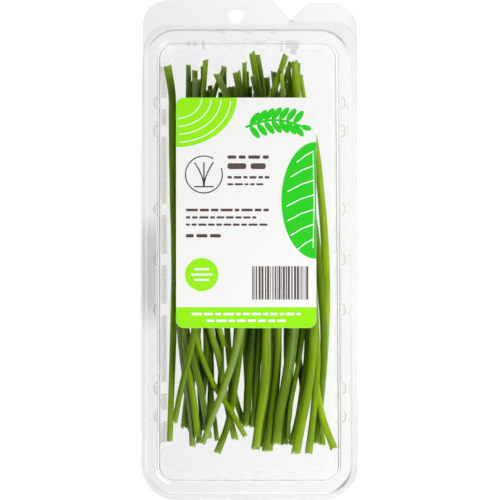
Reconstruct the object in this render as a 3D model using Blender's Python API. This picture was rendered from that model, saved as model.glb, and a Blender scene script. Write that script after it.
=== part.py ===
"""Hinged clear clamshell pack of cut chive leaves, lying on its back with the lid shut.

Metres, +Z up. The origin is under the middle of the pack, on the surface it lies on.
+X is to the pack's right and +Y towards its hanging header. The living hinge runs
along the -Y edge, and the lid swings up and over it.
"""
import math

import bmesh
import bpy
import numpy as np
from mathutils import Vector
from mathutils.geometry import tessellate_polygon

MM = 0.001

# ---- driving dimensions -------------------------------------------------------------
PACK_WIDTH = 97.0 * MM
PACK_LENGTH = 223.0 * MM
SHEET = 0.45 * MM
PARTING_GAP = 0.3 * MM
TRAY_RIM_Z = 22.0 * MM
RIM_BEAD_RISE = 1.5 * MM
LID_PLATEAU_RISE = 2.5 * MM

# hinge: two folded strips that roll on one axis
FOLD_RADIUS = 0.6 * MM
FOLD_WALL = 0.25 * MM
FOLD_GAP = 0.9 * MM
FOLD_LENGTH = 13.0 * MM
FOLD_CENTRES_X = (-15.5 * MM, 15.5 * MM)
FOLD_ARC = math.radians(240.0)
FOLD_STEPS = 12

# flanges
HEADER_TOP = PACK_LENGTH / 2
FLANGE_NEAR = -PACK_LENGTH / 2 + FOLD_RADIUS + FOLD_GAP
TRAY_FLANGE_LEFT = -47.5 * MM
TRAY_FLANGE_RIGHT = PACK_WIDTH / 2
TRAY_FLANGE_FAR = 100.5 * MM
LID_FLANGE_LEFT = -PACK_WIDTH / 2
LID_FLANGE_RIGHT = 47.9 * MM
LID_FLANGE_FAR = 102.0 * MM
FLANGE_CORNER = 10.0 * MM
FLANGE_NEAR_CORNER = 15.0 * MM
TAB_CORNER = 12.0 * MM
HEADER_CORNER = 11.0 * MM
NOTCH_X = 18.2 * MM
NOTCH_Y = 103.1 * MM
NOTCH_ROUND = 2.5 * MM
TAB_TOP = 110.6 * MM

# hanging hole in the lid's header, narrower at its foot, with round corners
HOLE_X = -6.05 * MM
HOLE_TOP = 106.95 * MM
HOLE_BOTTOM = 101.6 * MM
HOLE_WIDTH = 6.7 * MM
HOLE_SHOULDER = 1.3 * MM
HOLE_FOOT = 1.6 * MM
HOLE_TOE = 2.3 * MM

# rim bead of the tray and the lid's ledge over it: half width, near and far edges
BEAD_HALF = 44.8 * MM
BEAD_NEAR = -107.6 * MM
BEAD_FAR = 97.7 * MM
BEAD_CORNER = 14.0 * MM
LEDGE_CORNER = 11.0 * MM
BEAD_DRAFT = 0.6 * MM
LEDGE_MARGIN = 1.0 * MM

# tray
WALL_HALF = 40.7 * MM
WALL_NEAR = -102.4 * MM
WALL_FAR = 93.4 * MM
WALL_CORNER = 8.0 * MM
FLOOR_HALF = 36.5 * MM
FLOOR_NEAR = -97.0 * MM
FLOOR_FAR = 87.8 * MM
FLOOR_CORNER = 7.0 * MM
FOOT_OUT = 1.7 * MM
FOOT_UP = 1.75 * MM

# upright flutes in the tray's walls
FLUTE_WIDTH = 5.4 * MM
FLUTE_DEPTH = 2.0 * MM
FLUTE_FOOT = 0.6
FLUTE_PROFILE = ((-0.5, 0.0), (-0.27, 0.85), (0.27, 0.85), (0.5, 0.0))
SIDE_FLUTE_MIDDLE = -3.8 * MM
SIDE_FLUTE_OFFSETS = (22.3 * MM, 57.2 * MM, 69.7 * MM)
END_FLUTE_MIDDLE = -0.9 * MM
END_FLUTE_PITCH = 11.5 * MM

# lid plateau and label
PLATEAU_LEFT = -40.2 * MM
PLATEAU_RIGHT = 39.4 * MM
PLATEAU_NEAR = -102.0 * MM
PLATEAU_FAR = 92.4 * MM
PLATEAU_CORNER = 6.7 * MM
PLATEAU_DRAFT = 0.9 * MM
LABEL_LEFT = -32.9 * MM
LABEL_RIGHT = 29.5 * MM
LABEL_NEAR = -34.3 * MM
LABEL_FAR = 68.2 * MM
LABEL_CORNER = 3.6 * MM
LABEL_THICK = 0.15 * MM
LABEL_GAP = 0.2 * MM

CORNER_STEPS = 5

# leaves: routes are drawn on a grid of squares, counted from the pack's far left corner
GRID = 0.445 * MM
GRID_MIDDLE_U = 250.0
GRID_MIDDLE_V = 250.95
LEAF_SIDES = 8
LEAF_SEGMENTS = 13
LEAF_GAP = 0.3 * MM
SPAN_SAMPLES = 12
FINE_SAMPLES = 66
DRAPE_RADIUS = 230.0 * MM
SETTLE_ROUNDS = 6
WIDTH_SHARES = (0.0, 0.15, 0.45, 0.75, 1.0)
SHARP_ANGLE = math.radians(50.0)
LEAF_GREEN = (0.10, 0.26, 0.02)
LEAF_SHADES = (0.85, 1.06, 0.97, 1.18, 0.91, 1.12, 1.0)

# One leaf a row, the lowest in the pile first: its widths at the far end, the middle
# and the near end, then its route, all in grid squares.
LEAF_ROUTES = (
    ((7.2, 6.4, 5.3), (167.3, 65.5), (169.6, 80), (171.8, 94), (172.3, 105), (172.2, 140), (173.2, 200),
     (174.4, 260), (173.2, 330), (172.3, 360), (170.9, 400), (169.6, 441.5)),
    ((4.0, 6.0, 4.5), (192, 81), (190, 140), (186, 220), (182, 300), (183, 360), (187, 400), (190.5, 431)),
    ((4.5, 7.0, 4.0), (223.8, 66), (223.8, 100), (218, 200), (208, 300), (206.5, 330), (208, 360),
     (211, 395), (214.5, 420), (217, 441)),
    ((4.0, 7.0, 5.0), (210, 85), (211, 120), (211, 200), (209, 300), (210, 345), (211, 385),
     (209.5, 410), (207.5, 434)),
    ((3.5, 6.5, 5.0), (247, 71), (248, 90), (243, 150), (233, 240), (227, 310), (227.5, 335),
     (229.5, 360), (232.5, 388), (238, 405), (243.5, 424)),
    ((5.0, 7.5, 5.5), (247, 90), (249, 180), (250, 280), (247.3, 325), (246.3, 350), (246.6, 367),
     (247.8, 385), (247.5, 424)),
    ((6.0, 7.8, 6.0), (199, 92), (198, 180), (195, 300), (197.5, 345), (199.7, 370),
     (201, 400), (203.5, 430)),
    ((5.0, 7.5, 5.0), (221, 92), (219, 200), (216, 300), (219, 335), (221, 352), (221, 370), (219.5, 392)),
    ((6.0, 9.0, 5.0), (243, 92), (244, 200), (240, 300), (237, 340), (233.5, 372), (230, 400), (228.5, 415)),
    ((5.0, 9.0, 6.5), (256, 92), (258, 200), (258.5, 300), (257, 355), (255.8, 395), (254.5, 424)),
    ((5.0, 7.0, 6.0), (278, 95), (283, 200), (289, 300), (291, 350), (288.5, 400), (284.5, 436)),
    ((5.0, 7.6, 5.0), (284, 95), (291, 180), (297, 270), (298, 330), (298.3, 358), (301.3, 378),
     (303.5, 392), (302, 410), (299, 425), (297, 436)),
    ((5.0, 8.5, 7.0), (249, 86.5), (251, 120), (254, 180), (256.5, 250), (256, 310), (254.5, 330),
     (252.5, 348), (250, 367), (248.3, 385), (247.3, 405), (246.5, 425.5)),
    ((6.0, 7.5, 7.0), (266.3, 77), (268, 100), (275, 170), (284, 250), (287.5, 310), (287.5, 340),
     (288, 365), (290, 390), (288.5, 412), (286, 430), (284.3, 444)),
    ((4.5, 5.0, 4.8), (290, 79), (290.5, 97), (297, 180), (303.5, 260), (306, 315), (307.3, 342),
     (306, 362), (303.5, 380), (301.5, 395), (299, 412), (295, 428), (291, 444.5)),
    ((5.0, 6.5, 6.0), (257, 54.5), (259.5, 68), (262, 83), (265, 110), (270, 190), (274, 270),
     (273, 330), (272, 370), (271, 410), (270, 438)),
    ((5.0, 8.0, 9.0), (208, 90), (206, 140), (202, 230), (198.5, 305), (194.5, 350), (189.5, 390),
     (185.5, 427)),
    ((3.5, 6.0, 4.5), (202.5, 66), (203, 97), (202, 180), (204.5, 300), (206.5, 340), (205, 375),
     (202, 405), (198.5, 443)),
    ((4.5, 8.0, 5.0), (188.3, 64.5), (188.3, 97), (184, 180), (180, 280), (180.5, 330), (182.5, 352),
     (185.5, 378), (188.5, 402), (191.5, 425), (192.5, 446)),
    ((4.5, 6.0, 6.3), (194.8, 70), (194.5, 97), (189, 180), (184.5, 280), (184.5, 330), (186.5, 355),
     (189.5, 375), (192.5, 395), (195.5, 416), (198, 436)),
    ((7.5, 5.8, 6.0), (197, 78.5), (197, 97), (191, 180), (185, 280), (186, 325), (189, 345),
     (194, 363), (198.5, 380), (202.5, 397), (205, 415), (208.5, 438)),
    ((9.0, 6.8, 5.5), (230.5, 87), (231, 110), (225, 170), (214, 250), (209, 300), (210.5, 330),
     (215, 345), (219, 358), (221.5, 372), (223, 385), (226, 402), (230, 418), (235, 439)),
    ((6.0, 6.0, 5.0), (238, 90), (235, 130), (229, 200), (220, 280), (217, 315), (219.5, 330), (224.5, 346)),
    ((3.8, 5.0, 5.0), (244.5, 62.3), (244.5, 80), (245.5, 97), (248, 160), (250, 240), (249, 318)),
    ((5.5, 6.5, 5.5), (252, 52.5), (254, 65), (256.5, 80), (260, 97), (268, 160), (272, 240),
     (271, 320), (269.5, 360), (267.5, 390), (266, 410), (264.8, 428), (263.3, 446.5)),
    ((4.5, 6.5, 4.5), (252.5, 75.5), (257.5, 97), (262, 140), (264, 220), (261.5, 300), (260, 335),
     (257.5, 370), (255, 400), (252, 427)),
    ((4.0, 6.5, 9.0), (290.8, 62), (287, 72), (284, 83), (280.3, 97), (274, 130), (272, 190),
     (276, 270), (278, 330), (277.5, 360), (275.5, 385), (273, 405), (270.5, 428), (267.5, 450)),
    ((4.5, 4.8, 3.8), (287, 82), (288, 97), (296, 170), (304, 250), (305, 300), (302.8, 330),
     (301.3, 345), (298.8, 362), (296, 378), (292.8, 392), (290.2, 407), (288.8, 424), (288.3, 440)),
    ((4.5, 11.3, 7.8), (273.6, 71.5), (274.6, 85), (276, 97), (284, 160), (292, 240), (295.5, 300),
     (293.8, 330), (291.8, 347), (289, 365), (285.8, 383), (282.3, 400), (279, 418),
     (277.5, 432), (276.7, 443.5)),
    ((5.0, 8.5, 7.5), (286, 55), (281.5, 68), (276.5, 83), (270.5, 98), (263, 130), (260, 190),
     (263.5, 260), (266.5, 330), (266, 352), (264.8, 380), (262, 402), (259, 422), (255.7, 448)),
    ((3.5, 7.5, 6.0), (300.6, 74.5), (302, 86), (303.7, 97), (311, 122), (316, 145), (318.8, 168),
     (321, 192), (323.3, 218), (325, 244), (326, 270), (326.5, 300), (326, 325), (325, 345),
     (323.8, 370), (321.6, 392), (319.8, 410), (320.3, 428), (322.5, 444.5)),
    ((4.0, 6.8, 5.5), (287.8, 67), (290, 82), (293, 100), (303, 160), (313, 215), (318, 255),
     (320.5, 285), (323, 312), (324, 335), (323.5, 355), (322.8, 372), (321.5, 392), (320, 410),
     (318, 428), (316.5, 443)),
    ((3.5, 6.0, 6.3), (281.5, 73), (283, 97), (292, 170), (303, 260), (311, 330), (315, 365),
     (316.8, 388), (318.6, 403), (321.3, 414), (325.2, 425), (329.5, 436), (333.8, 448.3)),
    ((3.5, 5.5, 6.5), (298.4, 62.5), (298.3, 80), (298.8, 97), (304, 160), (311, 240), (315.5, 310),
     (317, 345), (317.5, 362), (316.7, 382), (314.8, 400), (313, 418), (311, 434), (308.8, 453)),
    ((6.0, 7.4, 8.0), (294.6, 61.2), (295.5, 80), (296.5, 97), (302, 170), (309, 250), (313.5, 310),
     (313.6, 332), (312.5, 352), (311.2, 370), (308.5, 390), (305.5, 406), (302, 422), (299, 437),
     (296, 452.5)),
    ((7.0, 6.0, 6.0), (236.5, 72), (239, 85), (241, 97), (245, 150), (246.5, 230), (243.5, 310),
     (241, 340), (238.5, 362), (236, 380), (233.5, 395), (230.5, 412), (226.5, 430), (221.5, 443),
     (217.5, 452.5)),
    ((4.5, 5.0, 4.8), (205.6, 60), (204.5, 80), (203, 97), (197, 170), (191, 250), (190.5, 300),
     (193.5, 328), (197.8, 345), (203, 360), (207.5, 371), (212, 381), (217.5, 392), (224, 401),
     (233, 414.5), (240, 427), (245, 436)),
    ((4.0, 7.0, 4.8), (224.3, 67), (219, 80), (213.5, 96), (206, 140), (200.5, 210), (198.5, 280),
     (196, 325), (192.5, 341), (188, 360), (183, 380), (178.3, 402), (174.6, 422)),
    ((5.5, 8.5, 5.0), (216.8, 74), (221, 85), (227, 97), (236, 125), (243, 180), (245, 250),
     (242, 310), (239.5, 330), (236, 347), (232.5, 362), (228, 377), (222.5, 391), (217.5, 404),
     (212, 418), (207, 431), (202.8, 443.5)),
)


# ---- heights that follow from the driving dimensions --------------------------------
HALF_SHEET = SHEET / 2
FLOOR_MID = HALF_SHEET
TRAY_FLANGE_MID = TRAY_RIM_Z - HALF_SHEET
TRAY_BEAD_MID = TRAY_FLANGE_MID + RIM_BEAD_RISE
LID_FLANGE_MID = TRAY_RIM_Z + PARTING_GAP + HALF_SHEET
LID_LEDGE_MID = LID_FLANGE_MID + RIM_BEAD_RISE
LID_PLATEAU_MID = LID_LEDGE_MID + LID_PLATEAU_RISE
HINGE_Y = FLANGE_NEAR - FOLD_GAP
HINGE_Z = TRAY_RIM_Z + PARTING_GAP / 2
FLOOR_TOP = SHEET


# ---- scene and materials ------------------------------------------------------------
def clear_scene():
    for old in list(bpy.data.objects):
        bpy.data.objects.remove(old, do_unlink=True)


def make_material(name, colour, roughness, alpha=1.0, transmission=0.0):
    material = bpy.data.materials.new(name)
    material.use_nodes = True
    shader = material.node_tree.nodes["Principled BSDF"]
    shader.inputs["Base Color"].default_value = (*colour, 1.0)
    shader.inputs["Roughness"].default_value = roughness
    shader.inputs["Metallic"].default_value = 0.0
    shader.inputs["Alpha"].default_value = alpha
    shader.inputs["Transmission Weight"].default_value = transmission
    material.diffuse_color = (*colour, alpha)
    return material


def make_object(name, mesh, material, parent=None, location=(0.0, 0.0, 0.0)):
    mesh.materials.append(material)
    piece = bpy.data.objects.new(name, mesh)
    bpy.context.collection.objects.link(piece)
    piece.location = location
    piece.parent = parent
    return piece


# ---- plan outlines ------------------------------------------------------------------
def round_corners(corners):
    """Turn (x, y, radius) corners into an outline whose corners are arcs."""
    outline = []
    count = len(corners)
    for index, (x, y, radius) in enumerate(corners):
        here = Vector((x, y))
        before = Vector(corners[index - 1][:2])
        after = Vector(corners[(index + 1) % count][:2])
        if radius <= 0.0:
            outline.append((x, y))
            continue
        to_before = (before - here).normalized()
        to_after = (after - here).normalized()
        half_angle = to_before.angle(to_after) / 2
        centre = here + (to_before + to_after).normalized() * radius / math.sin(half_angle)
        start = here + to_before * radius / math.tan(half_angle) - centre
        end = here + to_after * radius / math.tan(half_angle) - centre
        turn = start.angle_signed(end)
        for step in range(CORNER_STEPS + 1):
            angle = -turn * step / CORNER_STEPS
            cosine = math.cos(angle)
            sine = math.sin(angle)
            outline.append((centre.x + start.x * cosine - start.y * sine,
                            centre.y + start.x * sine + start.y * cosine))
    return outline


def rounded_box(left, right, near, far, radius):
    """Counter-clockwise outline of a box with round corners, from its near right corner."""
    return round_corners(((right, near, radius), (right, far, radius),
                          (left, far, radius), (left, near, radius)))


def flute_marks(middle, offsets):
    """Positions along one wall of the flutes, lowest first."""
    marks = [middle]
    for offset in offsets:
        marks.extend((middle - offset, middle + offset))
    return sorted(marks)


SIDE_MARKS = flute_marks(SIDE_FLUTE_MIDDLE, SIDE_FLUTE_OFFSETS)
END_MARKS = flute_marks(END_FLUTE_MIDDLE, (END_FLUTE_PITCH,))


def fluted_box(half, near, far, radius, depth):
    """A rounded box whose four sides carry the flutes, bulging out by depth."""
    corners = rounded_box(-half, half, near, far, radius)
    per_corner = CORNER_STEPS + 1
    near_right = corners[:per_corner]
    far_right = corners[per_corner:2 * per_corner]
    far_left = corners[2 * per_corner:3 * per_corner]
    near_left = corners[3 * per_corner:]
    outline = list(near_right)
    for mark in SIDE_MARKS:
        outline.extend((half + depth * out, mark + FLUTE_WIDTH * along) for along, out in FLUTE_PROFILE)
    outline.extend(far_right)
    for mark in reversed(END_MARKS):
        outline.extend((mark - FLUTE_WIDTH * along, far + depth * out) for along, out in FLUTE_PROFILE)
    outline.extend(far_left)
    for mark in reversed(SIDE_MARKS):
        outline.extend((-half - depth * out, mark - FLUTE_WIDTH * along) for along, out in FLUTE_PROFILE)
    outline.extend(near_left)
    for mark in END_MARKS:
        outline.extend((mark + FLUTE_WIDTH * along, near - depth * out) for along, out in FLUTE_PROFILE)
    return outline


# ---- sheet building -----------------------------------------------------------------
def add_loop(mesh, outline, height):
    return [mesh.verts.new((x, y, height)) for x, y in outline]


def bridge(mesh, first, second):
    """Wall of quads between two loops with the same number of points."""
    count = len(first)
    for index in range(count):
        after = (index + 1) % count
        mesh.faces.new((first[index], first[after], second[after], second[index]))


def fill_flat(mesh, loops):
    """Triangles over a flat region: the first loop is its edge and the others its holes."""
    corners = [vertex for loop in loops for vertex in loop]
    for triangle in tessellate_polygon([[vertex.co for vertex in loop] for loop in loops]):
        mesh.faces.new([corners[index] for index in triangle])


def offset_section(section, distance):
    """A wall section of (outward, height) points, moved by distance to its left-hand side."""
    normals = []
    for (r0, z0), (r1, z1) in zip(section, section[1:]):
        length = math.hypot(r1 - r0, z1 - z0)
        normals.append(Vector(((z0 - z1) / length, (r1 - r0) / length)))
    moved = []
    for index, (r, z) in enumerate(section):
        before = normals[max(index - 1, 0)]
        after = normals[min(index, len(normals) - 1)]
        mitre = (before + after).normalized()
        step = mitre * distance / mitre.dot(after)
        moved.append((step.x, z + step.y))
    return moved


def finish_sheet(name, mesh, material, parent):
    """Turn the two closed surfaces of a formed sheet into one object in its parent's frame."""
    for vertex in mesh.verts:
        vertex.co -= parent.location
    bmesh.ops.recalc_face_normals(mesh, faces=mesh.faces)
    data = bpy.data.meshes.new(name)
    mesh.to_mesh(data)
    mesh.free()
    return make_object(name, data, material, parent)


TRAY_SECTION = ((0.0, FLOOR_MID), (FLOOR_HALF, FLOOR_MID), (FLOOR_HALF + FOOT_OUT, FLOOR_MID + FOOT_UP),
                (WALL_HALF, TRAY_BEAD_MID), (BEAD_HALF - BEAD_DRAFT, TRAY_BEAD_MID),
                (BEAD_HALF, TRAY_FLANGE_MID), (TRAY_FLANGE_RIGHT, TRAY_FLANGE_MID))
TRAY_FLANGE = ((TRAY_FLANGE_RIGHT, FLANGE_NEAR, FLANGE_NEAR_CORNER),
               (TRAY_FLANGE_RIGHT, TAB_TOP, TAB_CORNER),
               (NOTCH_X + TAB_TOP - NOTCH_Y, TAB_TOP, NOTCH_ROUND),
               (NOTCH_X + TRAY_FLANGE_FAR - NOTCH_Y, TRAY_FLANGE_FAR, NOTCH_ROUND),
               (TRAY_FLANGE_LEFT, TRAY_FLANGE_FAR, FLANGE_CORNER),
               (TRAY_FLANGE_LEFT, FLANGE_NEAR, FLANGE_NEAR_CORNER))


def tray_surface(mesh, side):
    """One surface of the tray's sheet, above (1) or below (-1) its middle; returns its edge loop."""
    section = offset_section(TRAY_SECTION, side * HALF_SHEET)
    (floor, floor_z), (foot, foot_z), (wall, wall_z), (bead, bead_z), (step, step_z) = section[1:6]
    foot += FOOT_OUT
    floor_loop = add_loop(mesh, fluted_box(FLOOR_HALF + floor, FLOOR_NEAR - floor, FLOOR_FAR + floor,
                                           FLOOR_CORNER, 0.0), floor_z)
    foot_loop = add_loop(mesh, fluted_box(FLOOR_HALF + foot, FLOOR_NEAR - foot, FLOOR_FAR + foot,
                                          FLOOR_CORNER + FOOT_OUT / 2, FLUTE_DEPTH * FLUTE_FOOT), foot_z)
    wall_loop = add_loop(mesh, fluted_box(WALL_HALF + wall, WALL_NEAR - wall, WALL_FAR + wall,
                                          WALL_CORNER, FLUTE_DEPTH), wall_z)
    bead -= BEAD_DRAFT
    bead_loop = add_loop(mesh, rounded_box(-BEAD_HALF - bead, BEAD_HALF + bead, BEAD_NEAR - bead,
                                           BEAD_FAR + bead, BEAD_CORNER), bead_z)
    step_loop = add_loop(mesh, rounded_box(-BEAD_HALF - step, BEAD_HALF + step, BEAD_NEAR - step,
                                           BEAD_FAR + step, BEAD_CORNER), step_z)
    flange_loop = add_loop(mesh, round_corners(TRAY_FLANGE), step_z)
    fill_flat(mesh, [floor_loop])
    bridge(mesh, floor_loop, foot_loop)
    bridge(mesh, foot_loop, wall_loop)
    fill_flat(mesh, [bead_loop, wall_loop])
    bridge(mesh, bead_loop, step_loop)
    fill_flat(mesh, [flange_loop, step_loop])
    return flange_loop


def build_tray(material, parent):
    """Tray: floor, fluted walls, rim bead and flange with the short tab."""
    mesh = bmesh.new()
    bridge(mesh, tray_surface(mesh, -1), tray_surface(mesh, 1))
    return finish_sheet("tray", mesh, material, parent)


LEDGE_HALF = BEAD_HALF + LEDGE_MARGIN
PANEL_HALF = PLATEAU_RIGHT + PLATEAU_DRAFT
LID_SECTION = ((LID_FLANGE_RIGHT, LID_FLANGE_MID), (LEDGE_HALF, LID_FLANGE_MID),
               (LEDGE_HALF - BEAD_DRAFT, LID_LEDGE_MID), (PANEL_HALF, LID_LEDGE_MID),
               (PLATEAU_RIGHT, LID_PLATEAU_MID), (0.0, LID_PLATEAU_MID))
LID_FLANGE = ((LID_FLANGE_RIGHT, FLANGE_NEAR, FLANGE_NEAR_CORNER),
              (LID_FLANGE_RIGHT, LID_FLANGE_FAR, FLANGE_CORNER),
              (NOTCH_X + NOTCH_Y - LID_FLANGE_FAR, LID_FLANGE_FAR, NOTCH_ROUND),
              (NOTCH_X + NOTCH_Y - HEADER_TOP, HEADER_TOP, NOTCH_ROUND),
              (LID_FLANGE_LEFT, HEADER_TOP, HEADER_CORNER),
              (LID_FLANGE_LEFT, FLANGE_NEAR, FLANGE_NEAR_CORNER))
HANG_HOLE = ((HOLE_X + HOLE_WIDTH / 2, HOLE_TOP, HOLE_SHOULDER),
             (HOLE_X - HOLE_WIDTH / 2, HOLE_TOP, HOLE_SHOULDER),
             (HOLE_X - HOLE_TOE, HOLE_BOTTOM, HOLE_FOOT),
             (HOLE_X + HOLE_TOE, HOLE_BOTTOM, HOLE_FOOT))


def lid_surface(mesh, side):
    """One surface of the lid's sheet, above (1) or below (-1) its middle; returns its edge loops."""
    section = offset_section(LID_SECTION, -side * HALF_SHEET)
    (step, step_z), (ledge, ledge_z), (foot, foot_z), (panel, panel_z) = section[1:5]
    flange_loop = add_loop(mesh, round_corners(LID_FLANGE), step_z)
    hole_loop = add_loop(mesh, round_corners(HANG_HOLE), step_z)
    step += LEDGE_MARGIN
    step_loop = add_loop(mesh, rounded_box(-BEAD_HALF - step, BEAD_HALF + step, BEAD_NEAR - step,
                                           BEAD_FAR + step, LEDGE_CORNER), step_z)
    ledge += LEDGE_MARGIN - BEAD_DRAFT
    ledge_loop = add_loop(mesh, rounded_box(-BEAD_HALF - ledge, BEAD_HALF + ledge, BEAD_NEAR - ledge,
                                            BEAD_FAR + ledge, LEDGE_CORNER), ledge_z)
    foot += PLATEAU_DRAFT
    foot_loop = add_loop(mesh, rounded_box(PLATEAU_LEFT - foot, PLATEAU_RIGHT + foot, PLATEAU_NEAR - foot,
                                           PLATEAU_FAR + foot, PLATEAU_CORNER + PLATEAU_DRAFT), foot_z)
    panel_loop = add_loop(mesh, rounded_box(PLATEAU_LEFT - panel, PLATEAU_RIGHT + panel,
                                            PLATEAU_NEAR - panel, PLATEAU_FAR + panel,
                                            PLATEAU_CORNER), panel_z)
    fill_flat(mesh, [flange_loop, hole_loop, step_loop])
    bridge(mesh, step_loop, ledge_loop)
    fill_flat(mesh, [ledge_loop, foot_loop])
    bridge(mesh, foot_loop, panel_loop)
    fill_flat(mesh, [panel_loop])
    return flange_loop, hole_loop


def build_lid(material, parent):
    """Lid: flange with the hanging header, ledge over the tray's bead, and raised panel."""
    mesh = bmesh.new()
    for lower, upper in zip(lid_surface(mesh, -1), lid_surface(mesh, 1)):
        bridge(mesh, lower, upper)
    return finish_sheet("lid", mesh, material, parent)


def build_label(material, parent):
    """Paper label, a thin plate with round corners on the lid's raised panel."""
    bottom = LID_PLATEAU_MID + HALF_SHEET + LABEL_GAP
    outline = rounded_box(LABEL_LEFT, LABEL_RIGHT, LABEL_NEAR, LABEL_FAR, LABEL_CORNER)
    mesh = bmesh.new()
    low = add_loop(mesh, outline, bottom)
    high = add_loop(mesh, outline, bottom + LABEL_THICK)
    mesh.faces.new(low)
    mesh.faces.new(high)
    bridge(mesh, low, high)
    for vertex in mesh.verts:
        vertex.co -= parent.location
    bmesh.ops.recalc_face_normals(mesh, faces=mesh.faces)
    data = bpy.data.meshes.new("label")
    mesh.to_mesh(data)
    mesh.free()
    return make_object("label", data, material, parent)


def build_fold(name, centre_x, material, parent):
    """One living-hinge strip: a folded ribbon that opens towards the flanges."""
    profile = []
    for radius, order in ((FOLD_RADIUS, 1), (FOLD_RADIUS - FOLD_WALL, -1)):
        angles = [math.pi + FOLD_ARC * (step / FOLD_STEPS - 0.5) for step in range(FOLD_STEPS + 1)]
        profile.extend((radius * math.cos(angle), radius * math.sin(angle)) for angle in angles[::order])
    mesh = bmesh.new()
    ends = []
    for side in (-0.5, 0.5):
        ends.append([mesh.verts.new((FOLD_LENGTH * side, y, z)) for y, z in profile])
    mesh.faces.new(ends[0])
    mesh.faces.new(ends[1])
    bridge(mesh, ends[0], ends[1])
    bmesh.ops.recalc_face_normals(mesh, faces=mesh.faces)
    data = bpy.data.meshes.new(name)
    mesh.to_mesh(data)
    mesh.free()
    return make_object(name, data, material, parent, (centre_x, HINGE_Y, HINGE_Z))


# ---- leaves -------------------------------------------------------------------------
def smooth_route(route):
    """Points of a smooth curve through the route, evenly spaced along it, in metres."""
    knots = np.array([((u - GRID_MIDDLE_U) * GRID, (GRID_MIDDLE_V - v) * GRID) for u, v in route])
    padded = np.vstack((2 * knots[0] - knots[1], knots, 2 * knots[-1] - knots[-2]))
    dense = []
    for index in range(1, len(padded) - 2):
        p0, p1, p2, p3 = padded[index - 1:index + 3]
        for t in np.linspace(0.0, 1.0, SPAN_SAMPLES, endpoint=False):
            dense.append(0.5 * (2 * p1 + (p2 - p0) * t + (2 * p0 - 5 * p1 + 4 * p2 - p3) * t ** 2
                                + (3 * p1 - p0 - 3 * p2 + p3) * t ** 3))
    dense.append(knots[-1])
    dense = np.array(dense)
    lengths = np.concatenate(([0.0], np.cumsum(np.linalg.norm(np.diff(dense, axis=0), axis=1))))
    stations = np.linspace(0.0, lengths[-1], LEAF_SEGMENTS + 1)
    points = np.column_stack([np.interp(stations, lengths, dense[:, axis]) for axis in (0, 1)])
    return points, stations


def leaf_radii(widths):
    """Half widths at the stations, smooth from the far end over the middle to the near end."""
    share = np.linspace(0.0, 1.0, LEAF_SEGMENTS + 1)
    far, middle, near = widths
    bend = np.interp(share, WIDTH_SHARES,
                     (far, (far + middle) / 2, middle, (2 * middle + near) / 3, near))
    return bend * GRID / 2


def tray_rest(x, y, radius):
    """Lowest centre height of a leaf of this radius over the tray's floor, foot and walls."""
    reach = radius + LEAF_GAP
    lowest = FLOOR_TOP + reach
    foot_length = math.hypot(FOOT_OUT, FOOT_UP)
    wall_run = WALL_HALF - FLOOR_HALF - FOOT_OUT
    wall_rise = TRAY_BEAD_MID - FLOOR_MID - FOOT_UP
    for outward, edge in ((abs(x), FLOOR_HALF), (y, FLOOR_FAR), (-y, -FLOOR_NEAR)):
        inside = (edge - outward) * FOOT_UP / foot_length
        lowest = max(lowest, FLOOR_TOP + (reach - inside) * foot_length / FOOT_OUT)
        over = outward + reach + HALF_SHEET - edge - FOOT_OUT
        if over > 0.0:
            lowest = max(lowest, FLOOR_TOP + FOOT_UP + over * wall_rise / wall_run)
    return lowest


def needed_heights(fine, radii, laid):
    """Lowest centre height at each fine sample, over the tray and the leaves already laid."""
    need = np.array([tray_rest(x, y, radius) for (x, y), radius in zip(fine, radii)])
    for points, heights, other_radii in laid:
        starts = points[:-1]
        spans = points[1:] - starts
        lengths = (spans ** 2).sum(axis=1)
        offsets = fine[:, None, :] - starts[None, :, :]
        share = np.clip((offsets * spans[None]).sum(axis=2) / lengths, 0.0, 1.0)
        nearest = starts[None] + share[:, :, None] * spans[None]
        distance = np.linalg.norm(fine[:, None, :] - nearest, axis=2)
        height = heights[:-1] + share * (heights[1:] - heights[:-1])
        other = other_radii[:-1] + share * (other_radii[1:] - other_radii[:-1])
        reach = radii[:, None] + other + LEAF_GAP
        lift = np.sqrt(np.clip(reach ** 2 - distance ** 2, 0.0, None))
        need = np.maximum(need, np.where(distance < reach, height + lift, 0.0).max(axis=1))
    return need


def settle(points, stations, radii, laid):
    """Heights at the stations of a leaf that drapes over what it crosses."""
    along = np.linspace(0.0, stations[-1], FINE_SAMPLES)
    fine = np.column_stack([np.interp(along, stations, points[:, axis]) for axis in (0, 1)])
    need = needed_heights(fine, np.interp(along, stations, radii), laid)
    gaps = stations[:, None] - along[None, :]
    heights = (need[None, :] - gaps ** 2 / (2 * DRAPE_RADIUS)).max(axis=1)
    spacing = stations[1]
    for _ in range(SETTLE_ROUNDS):
        short = need - np.interp(along, stations, heights)
        near = np.abs(gaps) < spacing
        heights = heights + np.where(near, short[None, :], 0.0).max(axis=1).clip(0.0)
    return heights


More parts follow.
